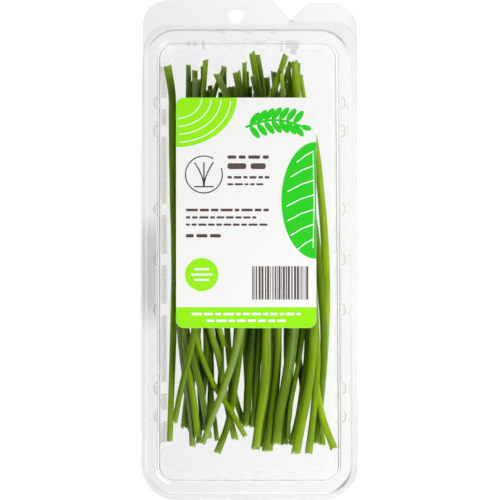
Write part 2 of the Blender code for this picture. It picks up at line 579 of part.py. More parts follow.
def build_leaf(name, points, heights, radii, material, parent):
    """One cut leaf: a tapering round stalk along its settled route."""
    centres = [Vector((x, y, z)) for (x, y), z in zip(points, heights)]
    mesh = bmesh.new()
    rings = []
    for index, centre in enumerate(centres):
        before = centres[max(index - 1, 0)]
        after = centres[min(index + 1, len(centres) - 1)]
        tangent = (after - before).normalized()
        side = tangent.cross(Vector((0.0, 0.0, 1.0))).normalized()
        up = side.cross(tangent)
        ring = []
        for corner in range(LEAF_SIDES):
            angle = math.tau * corner / LEAF_SIDES
            offset = side * math.cos(angle) + up * math.sin(angle)
            ring.append(mesh.verts.new(centre + offset * float(radii[index])))
        rings.append(ring)
    for first, second in zip(rings, rings[1:]):
        bridge(mesh, first, second)
    mesh.faces.new(rings[0])
    mesh.faces.new(rings[-1])
    bmesh.ops.recalc_face_normals(mesh, faces=mesh.faces)
    data = bpy.data.meshes.new(name)
    mesh.to_mesh(data)
    mesh.free()
    data.shade_smooth()
    data.set_sharp_from_angle(angle=SHARP_ANGLE)
    return make_object(name, data, material, parent)


def build_leaves(parent):
    laid = []
    for number, (widths, *route) in enumerate(LEAF_ROUTES, start=1):
        points, stations = smooth_route(route)
        radii = leaf_radii(widths)
        heights = settle(points, stations, radii, laid)
        laid.append((points, heights, radii))
        name = f"chive_leaf_{number:02d}"
        shade = LEAF_SHADES[number % len(LEAF_SHADES)]
        green = make_material(name, tuple(part * shade for part in LEAF_GREEN), 0.45)
        build_leaf(name, points, heights, radii, green, parent)


# ---- assembly -----------------------------------------------------------------------
def main():
    clear_scene()
    tray_parent = bpy.data.objects.new("tray_frame", None)
    lid_parent = bpy.data.objects.new("lid_frame", None)
    lid_parent.location = (0.0, HINGE_Y, HINGE_Z)
    for empty in (tray_parent, lid_parent):
        bpy.context.collection.objects.link(empty)
    clear_plastic = make_material("clear_plastic", (0.92, 0.93, 0.93), 0.08, 0.35, 0.9)
    lid_plastic = make_material("lid_plastic", (0.93, 0.94, 0.94), 0.08, 0.35, 0.9)
    fold_plastic = make_material("fold_plastic", (0.88, 0.9, 0.9), 0.15, 0.5, 0.6)
    paper = make_material("label_paper", (0.95, 0.95, 0.95), 0.5)
    build_tray(clear_plastic, tray_parent)
    build_lid(lid_plastic, lid_parent)
    build_label(paper, lid_parent)
    for side, centre_x in zip(("left", "right"), FOLD_CENTRES_X):
        build_fold(f"hinge_fold_{side}", centre_x, fold_plastic, tray_parent)
    build_leaves(tray_parent)


main()
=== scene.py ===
import math
import random
from collections import namedtuple

import bmesh
import bpy
import numpy as np
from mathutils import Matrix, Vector, noise
from mathutils.geometry import tessellate_polygon


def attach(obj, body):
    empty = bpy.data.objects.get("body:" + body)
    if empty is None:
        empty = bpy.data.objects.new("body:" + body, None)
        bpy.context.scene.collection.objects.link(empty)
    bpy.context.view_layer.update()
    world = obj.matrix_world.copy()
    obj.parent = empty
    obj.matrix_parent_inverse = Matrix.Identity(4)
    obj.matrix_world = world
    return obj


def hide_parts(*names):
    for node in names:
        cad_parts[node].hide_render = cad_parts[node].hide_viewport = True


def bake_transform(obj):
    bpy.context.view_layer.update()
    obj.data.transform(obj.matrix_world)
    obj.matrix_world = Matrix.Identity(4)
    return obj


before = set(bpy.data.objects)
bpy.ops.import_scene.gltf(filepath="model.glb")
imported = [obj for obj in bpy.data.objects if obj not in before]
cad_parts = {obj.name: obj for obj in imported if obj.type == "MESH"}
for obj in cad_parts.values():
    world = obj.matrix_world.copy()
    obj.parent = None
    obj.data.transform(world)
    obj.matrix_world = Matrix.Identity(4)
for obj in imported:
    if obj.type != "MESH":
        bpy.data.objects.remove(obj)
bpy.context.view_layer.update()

MM = 0.001
scene = bpy.context.scene

# ---- camera: straight over the pack, far enough off to flatten it
VIEW_WIDTH = 222.5 * MM
VIEW_CENTRE_Y = 0.42 * MM
CAMERA_HEIGHT = 8.0
CAMERA_REACH = 20.0
SENSOR = 36.0

# ---- formed sheet: middle surfaces near the construction model's, fitted to the photo
SHEET = 0.45 * MM
HALF_SHEET = SHEET / 2
TRAY_FLANGE_Z = 21.775 * MM
LID_FLANGE_Z = 22.525 * MM

FLANGE_NEAR = -110.0 * MM
NEAR_EDGE = ((-22.1, -110.7, 0.2), (-22.1, -110.0, 0.2), (-8.9, -110.0, 0.2), (-8.9, -110.7, 0.2),
             (8.9, -110.7, 0.2), (8.9, -110.0, 0.2), (22.1, -110.0, 0.2), (22.1, -110.7, 0.2))
TRAY_FLANGE = ((48.5, -110.7, 15.0), (48.1, 20.0, 200.0), (47.7, 110.6, 12.0), (25.7, 110.6, 2.5),
               (15.6, 100.5, 2.5), (-47.2, 100.5, 10.0), (-47.5, 20.0, 200.0), (-47.5, -110.7, 15.0),
               *NEAR_EDGE)
LID_FLANGE = ((47.9, -110.7, 15.0), (47.5, 102.0, 10.0), (19.3, 102.0, 2.5), (9.8, 111.5, 2.5),
              (-47.5, 111.5, 11.0), (-48.5, 27.0, 200.0), (-48.5, -110.7, 15.0), *NEAR_EDGE)
HANG_HOLE = ((-2.6, 107.0, 1.7), (-8.5, 107.0, 1.2), (-9.8, 105.2, 0.6),
             (-8.2, 101.4, 1.5), (-5.0, 101.3, 1.4), (-2.6, 103.7, 1.2))
RIM_INSET = 0.2 * MM
RIM_SHARE = 0.45
HOLDING = 0.35 * MM

# A painted light value says how dark a painted shade line (to 1) or how white a painted highlight (to -1)
# the sheet shows at a place. The flange's painted shade is lighter right of CLEAR_FROM, between
# NEAR_CLEAR and CLEAR_TO, and at the near end.
FLANGE_SHADE = 0.25
RIM_SHADE = 0.3
NEAR_SHADE = 0.1
CORNER_SHADE = 0.28
CLEAR_SHADE = 0.1
FAINT_SHADE = 0.25
CLEAR_FROM = 45.2 * MM
NEAR_CLEAR = -96.0 * MM
CLEAR_TO = 99.0 * MM

# A bend runs round the sheet as a rounded box, in millimetres. Its right side leans in by taper towards
# the far end, its flutes stand out by flute, and reach is how widely it is rounded. It has three painted
# light values for each corner in turn, near right, far right, far left and near left: where the corner
# starts, in its middle and where it ends, and another one for its flutes. They paint shade lines and
# highlights along the bend. They are for the sheet's upper face; the lower face takes them from nought to
# the faint painted shade limit only.
Bend = namedtuple("Bend", "left right near far corner taper flute height reach gauge flute_gauge",
                  defaults=(0.0,))
WALL_FOOT = (-38.2, 38.2, -98.7, 89.5, 7.85, 0.0, 1.2, 1.975)
WALL_TOP = (-40.6, 40.6, -102.3, 93.3, 8.0, 0.6, 2.0, 23.2)
WALL_REACH = 0.1


def even(level):
    """The same painted light value all the way round."""
    return ((level, level, level),) * 4


def sides(right, far, left, near, corners=None):
    """Painted light value that differs by side, with its own value in the middle of each corner."""
    middles = corners or ((near + right) / 2, (right + far) / 2, (far + left) / 2, (left + near) / 2)
    around = ((near, right), (right, far), (far, left), (left, near))
    return tuple((start, middle, end) for (start, end), middle in zip(around, middles))


def box_corners(left, right, near, far, radius):
    """Corners of a rounded box, from the near right one anticlockwise."""
    return ((right, near, radius), (right, far, radius), (left, far, radius), (left, near, radius))


def tray_wall(rise, gauge, flute_gauge=0.0):
    """Bend a share of the way up the tray's wall, from its foot to its bead."""
    shape = (low + (high - low) * rise for low, high in zip(WALL_FOOT, WALL_TOP))
    return Bend(*shape, WALL_REACH, gauge, flute_gauge)


# painted shade: the grey strip down the tray's left wall, and its softer upper edge
LEFT_WALL_SHADE = sides(0.0, 0.0, 0.58, 0.0, (0.0, 0.0, 0.0, 0.0))
LEFT_WALL_SHADE_EDGE = sides(0.0, 0.0, 0.52, 0.0, (0.0, 0.0, 0.0, 0.0))
# painted shade lines and highlights along the tray's bends and flutes, with the painted shade strip down
# its left wall
TRAY_BENDS = (
    Bend(-36.5, 36.5, -97.0, 87.8, 7.0, 0.0, 0.0, 0.225, 0.4, even(0.0), 0.02),
    Bend(-37.1, 37.1, -97.6, 88.4, 7.3, 0.0, 0.4, 0.8, 0.1, even(0.0)),
    Bend(-37.25, 37.25, -97.75, 88.55, 7.4, 0.0, 0.5, 1.0, 0.1, LEFT_WALL_SHADE),
    tray_wall(0.0, LEFT_WALL_SHADE),
    tray_wall(0.28, LEFT_WALL_SHADE),
    tray_wall(0.38, LEFT_WALL_SHADE_EDGE),
    tray_wall(0.6, LEFT_WALL_SHADE_EDGE),
    tray_wall(0.66, even(0.0)),
    tray_wall(1.0, even(0.0), 0.35),
    Bend(-40.85, 40.85, -102.55, 93.55, 8.1, 0.6, 2.0, 23.275, 0.15, even(0.0), 0.75),
    Bend(-41.1, 41.1, -102.8, 93.8, 8.3, 0.6, 2.0, 23.275, 0.05, even(0.03), -0.3),
    Bend(-41.4, 41.4, -103.1, 94.1, 8.5, 0.6, 2.0, 23.275, 0.05, even(0.03), 0.03),
    Bend(-45.7, 44.6, -107.4, 97.6, 13.4, 1.2, 0.0, 23.275, 0.2, even(0.05), 0.05),
    Bend(-46.0, 44.9, -107.7, 97.9, 13.5, 1.2, 0.0, 21.775, 0.3, even(0.15), 0.15),
)
# painted shade along the crease round the lid's plateau, a painted highlight on the wall below it,
# painted shade at its foot and a painted glint at the bright corner
PLATEAU_EDGE = ((0.6, 0.6, 1.0), (0.72, 0.6, 0.64), (0.64, 0.62, 0.85), (0.85, 0.62, 0.6))
PLATEAU_WALL = sides(-0.25, -0.4, -1.0, -0.15, (-0.2, -0.5, -0.9, -0.9))
PLATEAU_FOOT = ((0.1, 0.2, 0.75), (0.5, 0.2, 0.05), (0.05, 0.5, 0.62), (0.62, 0.5, 0.1))
CORNER_GLINT = sides(0.05, 0.05, 0.05, 0.05, (0.05, 0.05, -0.3, -0.9))
# painted shade lines and highlights along the lid's bends, which differ by side
LID_BENDS = (
    Bend(-39.95, 39.2, -101.75, 91.95, 6.4, 1.5, 0.0, 26.525, 0.05, even(0.0)),
    Bend(-40.2, 39.38, -101.95, 92.1, 6.6, 1.5, 0.0, 26.525, 0.15, PLATEAU_EDGE),
    Bend(-40.25, 39.45, -102.02, 92.17, 6.7, 1.45, 0.0, 26.38, 0.05, PLATEAU_EDGE),
    Bend(-40.27, 39.47, -102.04, 92.19, 6.7, 1.4, 0.0, 26.32, 0.05, PLATEAU_WALL),
    Bend(-40.7, 39.87, -102.52, 92.67, 7.2, 1.2, 0.0, 25.3, 0.1, PLATEAU_WALL),
    Bend(-40.72, 39.9, -102.55, 92.7, 7.25, 1.2, 0.0, 25.22, 0.05, PLATEAU_FOOT),
    Bend(-41.15, 40.4, -103.1, 93.25, 7.7, 1.0, 0.0, 24.025, 0.15, PLATEAU_FOOT),
    Bend(-41.4, 40.65, -103.35, 93.5, 7.9, 1.0, 0.0, 24.025, 0.05, CORNER_GLINT),
    Bend(-42.1, 41.0, -104.05, 94.2, 8.6, 1.0, 0.0, 24.025, 0.05, CORNER_GLINT),
    Bend(-42.3, 41.2, -104.25, 94.4, 8.8, 1.0, 0.0, 24.025, 0.05, even(0.05)),
    Bend(-45.75, 44.75, -107.45, 97.7, 13.2, 1.2, 0.0, 24.025, 0.04, even(0.06)),
    Bend(-45.9, 44.9, -107.6, 97.8, 13.3, 1.2, 0.0, 24.025, 0.04,
         sides(-0.25, 0.4, -0.35, -0.2, (0.7, 0.6, 0.4, 0.2))),
    Bend(-46.2, 45.1, -107.9, 98.0, 13.3, 1.2, 0.0, 24.025, 0.1,
         ((-0.1, 0.9, 0.5), (0.0, 0.8, 0.66), (0.66, 0.62, -0.3), (-0.3, 0.55, -0.1))),
    Bend(-46.4, 45.3, -108.1, 98.2, 13.2, 1.2, 0.0, 23.0, 0.1,
         ((0.4, 0.95, 0.75), (0.1, 0.7, 0.66), (0.66, 0.55, 0.45), (0.45, 0.1, 0.4))),
    Bend(-46.6, 45.5, -108.3, 98.45, 13.1, 1.2, 0.0, 22.525, 0.15,
         ((0.35, 0.8, 0.6), (0.1, 0.5, 0.6), (0.6, 0.35, 0.4), (0.4, 0.4, 0.35))),
    Bend(-46.8, 45.65, -108.5, 98.65, 13.2, 1.2, 0.0, 22.525, 0.05,
         ((0.1, 0.4, -0.15), (-0.2, 0.2, 0.25), (0.25, -0.3, -0.3), (-0.3, 0.1, 0.1))),
    Bend(-47.15, 45.9, -108.75, 98.9, 13.4, 1.2, 0.0, 22.525, 0.05,
         sides(0.1, 0.22, 0.22, NEAR_SHADE, (0.3, 0.25, 0.18, 0.1))),
)
FLUTE_WIDTH = 5.4 * MM
SIDE_FLUTES = (-73.5, -61.0, -26.1, -3.8, 18.5, 53.4, 65.9)
END_FLUTES = (-12.4, -0.9, 10.6)
FLUTE_STEPS = 12
FLUTE_SQUARE = 0.9
HALF_ARC = 9
ARC_STEPS = 2 * HALF_ARC
BEND_STEPS = 6
MOST_REACH = 0.45
LEAD_IN = 5 * MM
LEAD_OUT = 2 * MM

# ---- clear sheet's look
GLASS_SHARE = 0.12
CLEAR_SHARE = 0.995
MIRROR_SHARE = 0.05
MIRROR_GAIN = 0.3
MIRROR_POWER = 5.0
SHEET_IOR = 1.46
CLEAR_TINT = (1.0, 1.0, 1.0)
# grey of the painted shade on the tray's flange
TRAY_SHADE_GREY = (0.985, 0.985, 0.985)
TRAY_TAB_TINT = 0.94
# grey of the painted shade on the lid's flange
LID_SHADE_GREY = (0.95, 0.95, 0.95)
# greys of the painted shade lines along bends, and of the darkest ones
CREASE_SHADE = (0.865, 0.86, 0.845)
DEEP_SHADE = (0.37, 0.36, 0.33)
# white of the painted highlight lines
HIGHLIGHT_WHITE = (0.72, 0.72, 0.72, 1.0)
LET_IN = (0.95, 0.955, 0.955, 1.0)
SHARP = 0.2 * MM

# the tray's bare tab and corner, past the lid's far edge and round its far right corner
HEADER_FROM = 101.8 * MM
HEADER_CORNER = (37.5 * MM, 92.0 * MM)
HEADER_FADE = 2.0 * MM

# painted shade, a grey stretch on the left flange: where it starts and is full, then where it fades and
# ends
LEFT_FLANGE_SHADE_SPAN = (-36.0 * MM, -22.0 * MM, 5.5 * MM, 16.5 * MM)
LEFT_FLANGE_SHADE_SIDE = -41.9 * MM
LEFT_FLANGE_SHADE_FADE = 0.5 * MM
LEFT_FLANGE_SHADE_LEVEL = 0.915

# ends of the painted shade strip down the left wall, and the side past which they don't cut it off
WALL_SHADE_ENDS = (-85.2 * MM, 82.1 * MM)
WALL_SHADE_SIDE = -40.4 * MM

# painted reflections, small grey patches on the tray's far wall, as left, right and near in millimetres
FAR_WALL_REFLECTIONS = ((-28.1, -26.6, 91.2), (-25.6, -23.7, 91.2), (-21.6, -20.1, 89.9), (13.5, 14.3, 88.9),
             (15.7, 21.7, 90.1), (17.9, 20.6, 87.5))
FAR_REFLECTION_END = 93.4 * MM
FAR_REFLECTION_TINT = 0.88

# ---- living hinge
HINGE_Y = -110.9 * MM
HINGE_Z = 22.15 * MM
STRIP_HALF = 6.5 * MM
STRIP_CENTRES = {"hinge_fold_left": -15.5 * MM, "hinge_fold_right": 15.5 * MM}
STRIP_THICK = 0.22 * MM
STRIP_GAP = 0.03 * MM
STRIP_STEPS = 14
STRIP_COLUMNS = (-1.0, -0.97, -0.5, 0.0, 0.5, 0.97, 1.0)

# ---- leaves
CAD_SIDES = 8
LEAF_SIDES = 24
LEAF_PITCH = 2.2 * MM
END_SPACING = (0.0, 0.25, 0.6, 1.1, 1.8, 2.8, 4.2)
LEAF_SWELL = 1.09
LEAF_FLAT = 0.9
WALL_SHARE = 0.74
EDGE_SLIDE = 0.06 * MM
WIDTH_WOBBLE = 0.05
WOBBLE_RATE = 90.0
TWIST = 0.5
TWIST_RATE = 25.0
RIB_COUNT = 9
RIB_DEPTH = 0.012

# a leaf's two ends, far end first: torn within CUT_REACH, pale within TIP_REACH, squashed within
# PRESS_REACH
CUT_REACH = 3.0 * MM
CUT_FADE = 0.6 * MM
OBLIQUE = 0.45
RAGGED = 0.7
RAGS = 3.2
END_OUT = (-0.05, 0.15)
TIP_REACH = 6.0 * MM
TIP_SHARE = 0.3
PRESS_REACH = 9.0 * MM
PRESS_SPREAD = 0.25
PRESSES = (-0.5, -0.25, 0.0, 0.3, 0.5)

# rings of the hollow in an end, deepest first: station, share of the radius, slide and paleness
HOLLOW = ((3, WALL_SHARE - 0.1, 2.4 * MM, 0.1), (2, WALL_SHARE, 1.0 * MM, 0.35),
          (0, WALL_SHARE, 0.05 * MM, 1.0), (0, 0.94, 0.0, 1.0))

# each tone's dark green, light green and share of wax bloom with painted sheen, and the tone of each leaf
# in turn. The tones are partly the leaves' own greens and partly painted light and shade: leaves lying in
# shade take darker tones and lit leaves lighter ones.
WAX_BLOOM_AND_SHEEN = (0.23, 0.33, 0.16, 1.0)
CUT_GREEN = (0.38, 0.52, 0.09, 1.0)
LEAF_TONES = {
    "deep": ((0.04, 0.092, 0.0), (0.098, 0.195, 0.001), 0.05),
    "mid": ((0.066, 0.145, 0.0), (0.165, 0.3, 0.001), 0.12),
    "fresh": ((0.105, 0.215, 0.0), (0.275, 0.45, 0.002), 0.12),
    "sunny": ((0.16, 0.32, 0.001), (0.39, 0.61, 0.004), 0.15),
    "pale": ((0.115, 0.22, 0.001), (0.29, 0.45, 0.01), 0.55),
    "grey": ((0.066, 0.145, 0.002), (0.165, 0.29, 0.012), 0.75),
}
TONE_OF_LEAF = (
    "fresh deep mid deep fresh mid mid deep deep deep deep deep deep mid fresh pale mid deep grey "
    "fresh grey pale fresh fresh fresh deep mid fresh grey pale sunny mid sunny fresh fresh mid "
    "fresh mid pale").split()
SEED = 7

# ---- label: millimetres in plan, metres in height
LABEL_LEFT, LABEL_RIGHT, LABEL_NEAR, LABEL_FAR = -32.9, 29.5, -34.3, 68.2
LABEL_CORNER = 3.6
LABEL_CORNERS = box_corners(LABEL_LEFT, LABEL_RIGHT, LABEL_NEAR, LABEL_FAR, LABEL_CORNER)
LABEL_LOW = 26.95 * MM
LABEL_TOP = 27.08 * MM
INK_STEP = 0.012 * MM
# the paper's softened edge: how far in from its outline in millimetres, and how high
PAPER_ROWS = ((0.3, LABEL_LOW), (0.02, LABEL_LOW), (0.0, LABEL_LOW + 0.02 * MM),
              (0.0, LABEL_TOP - 0.03 * MM), (0.03, LABEL_TOP), (0.3, LABEL_TOP))
INK_EDGE = 0.05
INK_ARC = 12
HAIRLINE = 0.45
VEIN_LINE = 0.5
RING_LINE = 0.55
FINE_LINE = 0.6
STEM_LINE = 1.0
# paper and inks: name, colour, fleck, and least and greatest roughness
INKS = (("label_white", (0.815, 0.815, 0.805), (0.795, 0.795, 0.785), 0.38, 0.52),
        ("ink_lime", (0.30, 0.82, 0.012), (0.26, 0.74, 0.01), 0.3, 0.42),
        ("ink_green", (0.03, 0.60, 0.022), (0.026, 0.53, 0.02), 0.3, 0.42),
        ("ink_brown", (0.085, 0.058, 0.056), (0.12, 0.09, 0.085), 0.34, 0.46),
        ("ink_white", (0.87, 0.87, 0.86), (0.80, 0.81, 0.79), 0.36, 0.5))
PAPER, LIME, GREEN, BROWN, WHITE = range(len(INKS))

# rows of small print: left, right, near and height
BROWN_ROWS = ((-10.0, 9.0, 41.0, 1.5), (-10.0, 7.0, 36.4, 2.6), (-10.0, 10.5, 32.2, 1.1),
              (-10.0, 6.5, 29.2, 0.9), (-28.5, 9.0, 17.6, 1.2), (-28.5, 3.5, 14.4, 1.0),
              (-28.5, 8.0, 11.2, 1.0), (-28.5, -12.0, 6.0, 1.5))
WHITE_ROWS = ((-26.0, 22.6, -28.6, 1.1), (-19.5, 16.0, -31.6, 1.1))

# ---- light table, lamps and surroundings
FLOOR_HALF = 1.6
FLOOR_Z = -0.2 * MM
FLOOR_GREY = (0.04, 0.04, 0.04, 1.0)
GLOW_SPAN = (-45.0 * MM, 45.0 * MM, 1.0, 1.13)
EDGE_SPAN = (43.0 * MM, 47.0 * MM)
EDGE_FADE = (50.0 * MM, 105.0 * MM, 0.06, -0.10)
LAMPS = {"key": ((0.6, -0.4, 0.8), 0.7, 15.5), "fill": ((-0.8, 0.35, 0.8), 1.0, 4.0)}
SKY_LEVELS = ((0.0, 0.6), (0.3, 0.35), (0.6, 0.12), (0.85, 0.01))


# ---- plan outlines
def round_corners(corners, steps=ARC_STEPS):
    """Turn (x, y, radius) corners into an outline whose corners are arcs."""
    outline = []
    count = len(corners)
    for index, (x, y, radius) in enumerate(corners):
        here = Vector((x, y))
        before = Vector(corners[index - 1][:2])
        after = Vector(corners[(index + 1) % count][:2])
        to_before = (before - here).normalized()
        to_after = (after - here).normalized()
        half_angle = to_before.angle(to_after) / 2
        centre = here + (to_before + to_after).normalized() * radius / math.sin(half_angle)
        start = here + to_before * radius / math.tan(half_angle) - centre
        end = here + to_after * radius / math.tan(half_angle) - centre
        turn = start.angle_signed(end)
        for step in range(steps + 1):
            angle = -turn * step / steps
            cosine = math.cos(angle)
            sine = math.sin(angle)
            outline.append((centre.x + start.x * cosine - start.y * sine,
                            centre.y + start.x * sine + start.y * cosine))
    return outline


def metres(corners):
    """Corners in metres, from corners in millimetres."""
    return [tuple(value * MM for value in corner) for corner in corners]


def inset(outline, distance):
    """The outline moved to its inner side, or to its outer side where distance is negative."""
    moved = []
    count = len(outline)
    for index, (x, y) in enumerate(outline):
        x0, y0 = outline[index - 1]
        x1, y1 = outline[(index + 1) % count]
        length = math.hypot(x1 - x0, y1 - y0)
        moved.append((x - (y1 - y0) * distance / length, y + (x1 - x0) * distance / length))
    return moved


def flute_points(width, depth):
    """Half-round bulge as (along, outward) points."""
    points = []
    for step in range(FLUTE_STEPS + 1):
        angle = math.pi * step / FLUTE_STEPS
        points.append((-width / 2 * math.cos(angle), depth * math.sin(angle) ** FLUTE_SQUARE))
    return points


def plan_loop(row, side_marks, end_marks):
    """Outline of one row of a sheet: a rounded box whose sides carry flutes at the marks."""
    left, right, near, far, corner, taper, depth, width = row[:8]
    arcs = round_corners(box_corners(left, right, near, far, corner))
    per_corner = ARC_STEPS + 1
    flute = flute_points(width, depth)
    outline = list(arcs[:per_corner])
    for mark in side_marks:
        outline.extend((right + out, mark * MM + along) for along, out in flute)
    outline.extend(arcs[per_corner:2 * per_corner])
    for mark in reversed(end_marks):
        outline.extend((mark * MM - along, far + out) for along, out in flute)
    outline.extend(arcs[2 * per_corner:3 * per_corner])
    for mark in reversed(side_marks):
        outline.extend((left - out, mark * MM - along) for along, out in flute)
    outline.extend(arcs[3 * per_corner:])
    for mark in end_marks:
        outline.extend((mark * MM + along, near - out) for along, out in flute)
    return [(x - taper * max(x, 0.0) / right * (y - near) / (far - near), y) for x, y in outline]


def eased(first, last, t):
    return first + (last - first) * t * t * (3 - 2 * t)


def painted_light_loop(corners, flute_gauge, side_marks, end_marks):
    """The painted light value at each point of a plan loop: its corners, the sides between and the
    flutes.
    """
    painted_lights = []
    for index, (start, middle, end) in enumerate(corners):
        painted_lights.extend(eased(start, middle, step / HALF_ARC) for step in range(HALF_ARC))
        painted_lights.extend(eased(middle, end, step / HALF_ARC) for step in range(HALF_ARC + 1))
        after = corners[(index + 1) % len(corners)][0]
        marks = end_marks if index % 2 else side_marks
        count = len(marks) * (FLUTE_STEPS + 1)
        for place in range(count):
            plain = end + (after - end) * (place + 1) / (count + 1)
            at_foot = place % (FLUTE_STEPS + 1) in (0, FLUTE_STEPS)
            painted_lights.append(plain if at_foot else flute_gauge)
    return painted_lights


# ---- sheet building
def add_object(name, data):
    made = bpy.data.objects.new(name, data)
    scene.collection.objects.link(made)
    return made


def add_piece(name, vertices, faces, attributes):
    """New smooth object with its faces turned outwards and values at its vertices."""
    mesh = bpy.data.meshes.new(name)
    mesh.from_pydata(vertices, [], faces)
    for label, (kind, key, values) in attributes.items():
        mesh.attributes.new(label, kind, "POINT").data.foreach_set(key, values)
    turned = bmesh.new()
    turned.from_mesh(mesh)
    bmesh.ops.recalc_face_normals(turned, faces=turned.faces)
    turned.to_mesh(mesh)
    turned.free()
    mesh.shade_smooth()
    return add_object(name, mesh)


def bands(loops):
    """Faces between each loop and the next, all of one count."""
    faces = []
    for first, second in zip(loops, loops[1:]):
        for index, corner in enumerate(first):
            after = (index + 1) % len(first)
            faces.append((corner, first[after], second[after], second[index]))
    return faces


class SheetMesh:
    """Vertices with a painted light value, and the faces between their loops."""

    def __init__(self):
        self.vertices = []
        self.painted_lights = []
        self.faces = []

    def loop(self, outline, height, painted_lights):
        """Add the outline's vertices at a height, and give their indices."""
        start = len(self.vertices)
        self.vertices.extend((x, y, height) for x, y in outline)
        self.painted_lights.extend(painted_lights)
        return list(range(start, len(self.vertices)))

    def bridge(self, *loops):
        self.faces.extend(bands(loops))

    def fill(self, loops):
        """Flat faces inside the first loop and outside the others."""
        corners = [index for loop in loops for index in loop]
        flat = [[Vector(self.vertices[index]) for index in loop] for loop in loops]
        for triangle in tessellate_polygon(flat):
            self.faces.append(tuple(corners[index] for index in triangle))

    def finish(self, name):
        return add_piece(name, self.vertices, self.faces, {"gauge": ("FLOAT", "value", self.painted_lights)})


def section_rows(bends):
    """Rows along a section with its bends rounded: place, direction of travel, and bend.

    A place is left, right, near, far, corner, taper, flute, flute width and height.
    """
    keys = [np.array((*bend[:7], FLUTE_WIDTH / MM, bend.height)) * MM for bend in bends]
    first = keys[0] - np.array([-1, 1, -1, 1, 0.6, 0, 0, 0, 0]) * LEAD_IN
    last = keys[-1] + np.array([-1, 1, -1, 1, 1, 0, 0, 0, 0]) * LEAD_OUT
    padded = [first, *keys, last]
    rows = []
    for index, bend in enumerate(bends, start=1):
        key = padded[index]
        lengths = []
        for other in (padded[index - 1], padded[index + 1]):
            lengths.append(math.hypot(other[1] - key[1], other[8] - key[8]))
        reach = [min(bend.reach * MM, MOST_REACH * length) for length in lengths]
        start = key + (padded[index - 1] - key) * reach[0] / lengths[0]
        end = key + (padded[index + 1] - key) * reach[1] / lengths[1]
        if index == 1:
            rows.append((start + (padded[0] - key) * HOLDING / lengths[0], key - padded[0], bend))
        for step in range(BEND_STEPS + 1):
            t = step / BEND_STEPS
            place = (1 - t) ** 2 * start + 2 * t * (1 - t) * key + t ** 2 * end
            travel = (1 - t) * (key - start) / reach[0] + t * (end - key) / reach[1]
            rows.append((place, travel, bend))
        if index == len(bends):
            rows.append((end + (padded[-1] - key) * HOLDING / lengths[1], padded[-1] - key, bend))
    return rows


def offset_row(row, travel, distance):
    """A row moved to the upper side of its sheet by distance."""
    length = math.hypot(travel[1], travel[8])
    outward = -travel[8] / length * distance
    moved = row.copy()
    moved += np.array([-1, 1, -1, 1, 1, 0, 0, 2, 0]) * outward
    moved[8] += travel[1] / length * distance
    return moved


def flange_painted_shade(x, y):
    """Painted shade at a place on the flange: lighter on the pack's right and at its near end."""
    if x > CLEAR_FROM and y < HEADER_FROM:
        return CLEAR_SHADE if NEAR_CLEAR < y < CLEAR_TO else CORNER_SHADE
    return NEAR_SHADE if y < NEAR_CLEAR else FLANGE_SHADE


def rim_painted_shade(x, y):
    """Painted shade at a place on the flange's rim: lighter at the near end, except on the right."""
    return NEAR_SHADE if y < NEAR_CLEAR and x <= CLEAR_FROM else RIM_SHADE


def build_sheet(name, bends, flange, flange_z, holes=(), side_marks=(), end_marks=()):
    """Closed sheet of even thickness: panel, rounded bends, flange and rims."""
    sheet = SheetMesh()
    edges = [(round_corners(metres(flange)), 1)]
    edges += [(round_corners(metres(hole)), -1) for hole in holes]
    rims = []
    for side in (-1, 1):
        loops = []
        for row, travel, bend in section_rows(bends):
            moved = offset_row(row, travel, side * HALF_SHEET)
            # painted shade lines and highlights along each bend; the lower face takes only a faint
            # painted shade
            painted_lights = painted_light_loop(bend.gauge, bend.flute_gauge, side_marks, end_marks)
            if side < 0:
                painted_lights = [min(max(gauge, 0.0), FAINT_SHADE) for gauge in painted_lights]
            loops.append(sheet.loop(plan_loop(moved, side_marks, end_marks), moved[8], painted_lights))
        sheet.bridge(*loops)
        sheet.fill([loops[0]])
        holding = []
        rim = []
        height = flange_z + side * HALF_SHEET
        for outline, inwards in edges:
            # painted shade on the flange and on its rim
            flat = [flange_painted_shade(x, y) for x, y in outline]
            dark = [rim_painted_shade(x, y) for x, y in outline]
            held = sheet.loop(inset(outline, inwards * HOLDING), height, flat)
            edge = sheet.loop(inset(outline, inwards * RIM_INSET), height, dark)
            lip = sheet.loop(outline, flange_z + side * HALF_SHEET * RIM_SHARE, dark)
            sheet.bridge(held, edge, lip)
            holding.append(held)
            rim.append(lip)
        sheet.fill([holding[0], loops[-1], *holding[1:]])
        rims.append(rim)
    for low, high in zip(*rims):
        sheet.bridge(low, high)
    return sheet.finish(name)


def strip_path():
    """The hinge strip's section, as (y, z, normal y, normal z), from the lower flange to the upper."""
    run = FLANGE_NEAR - HINGE_Y - STRIP_GAP
    radius = LID_FLANGE_Z - HINGE_Z
    path = [(run, -radius, 0.0, -1.0), (run / 2, -radius, 0.0, -1.0)]
    for step in range(STRIP_STEPS + 1):
        angle = -math.pi / 2 - math.pi * step / STRIP_STEPS
        cosine = math.cos(angle)
        sine = math.sin(angle)
        path.append((radius * cosine, radius * sine, cosine, sine))
    return path + [(run / 2, radius, 0.0, 1.0), (run, radius, 0.0, 1.0)]


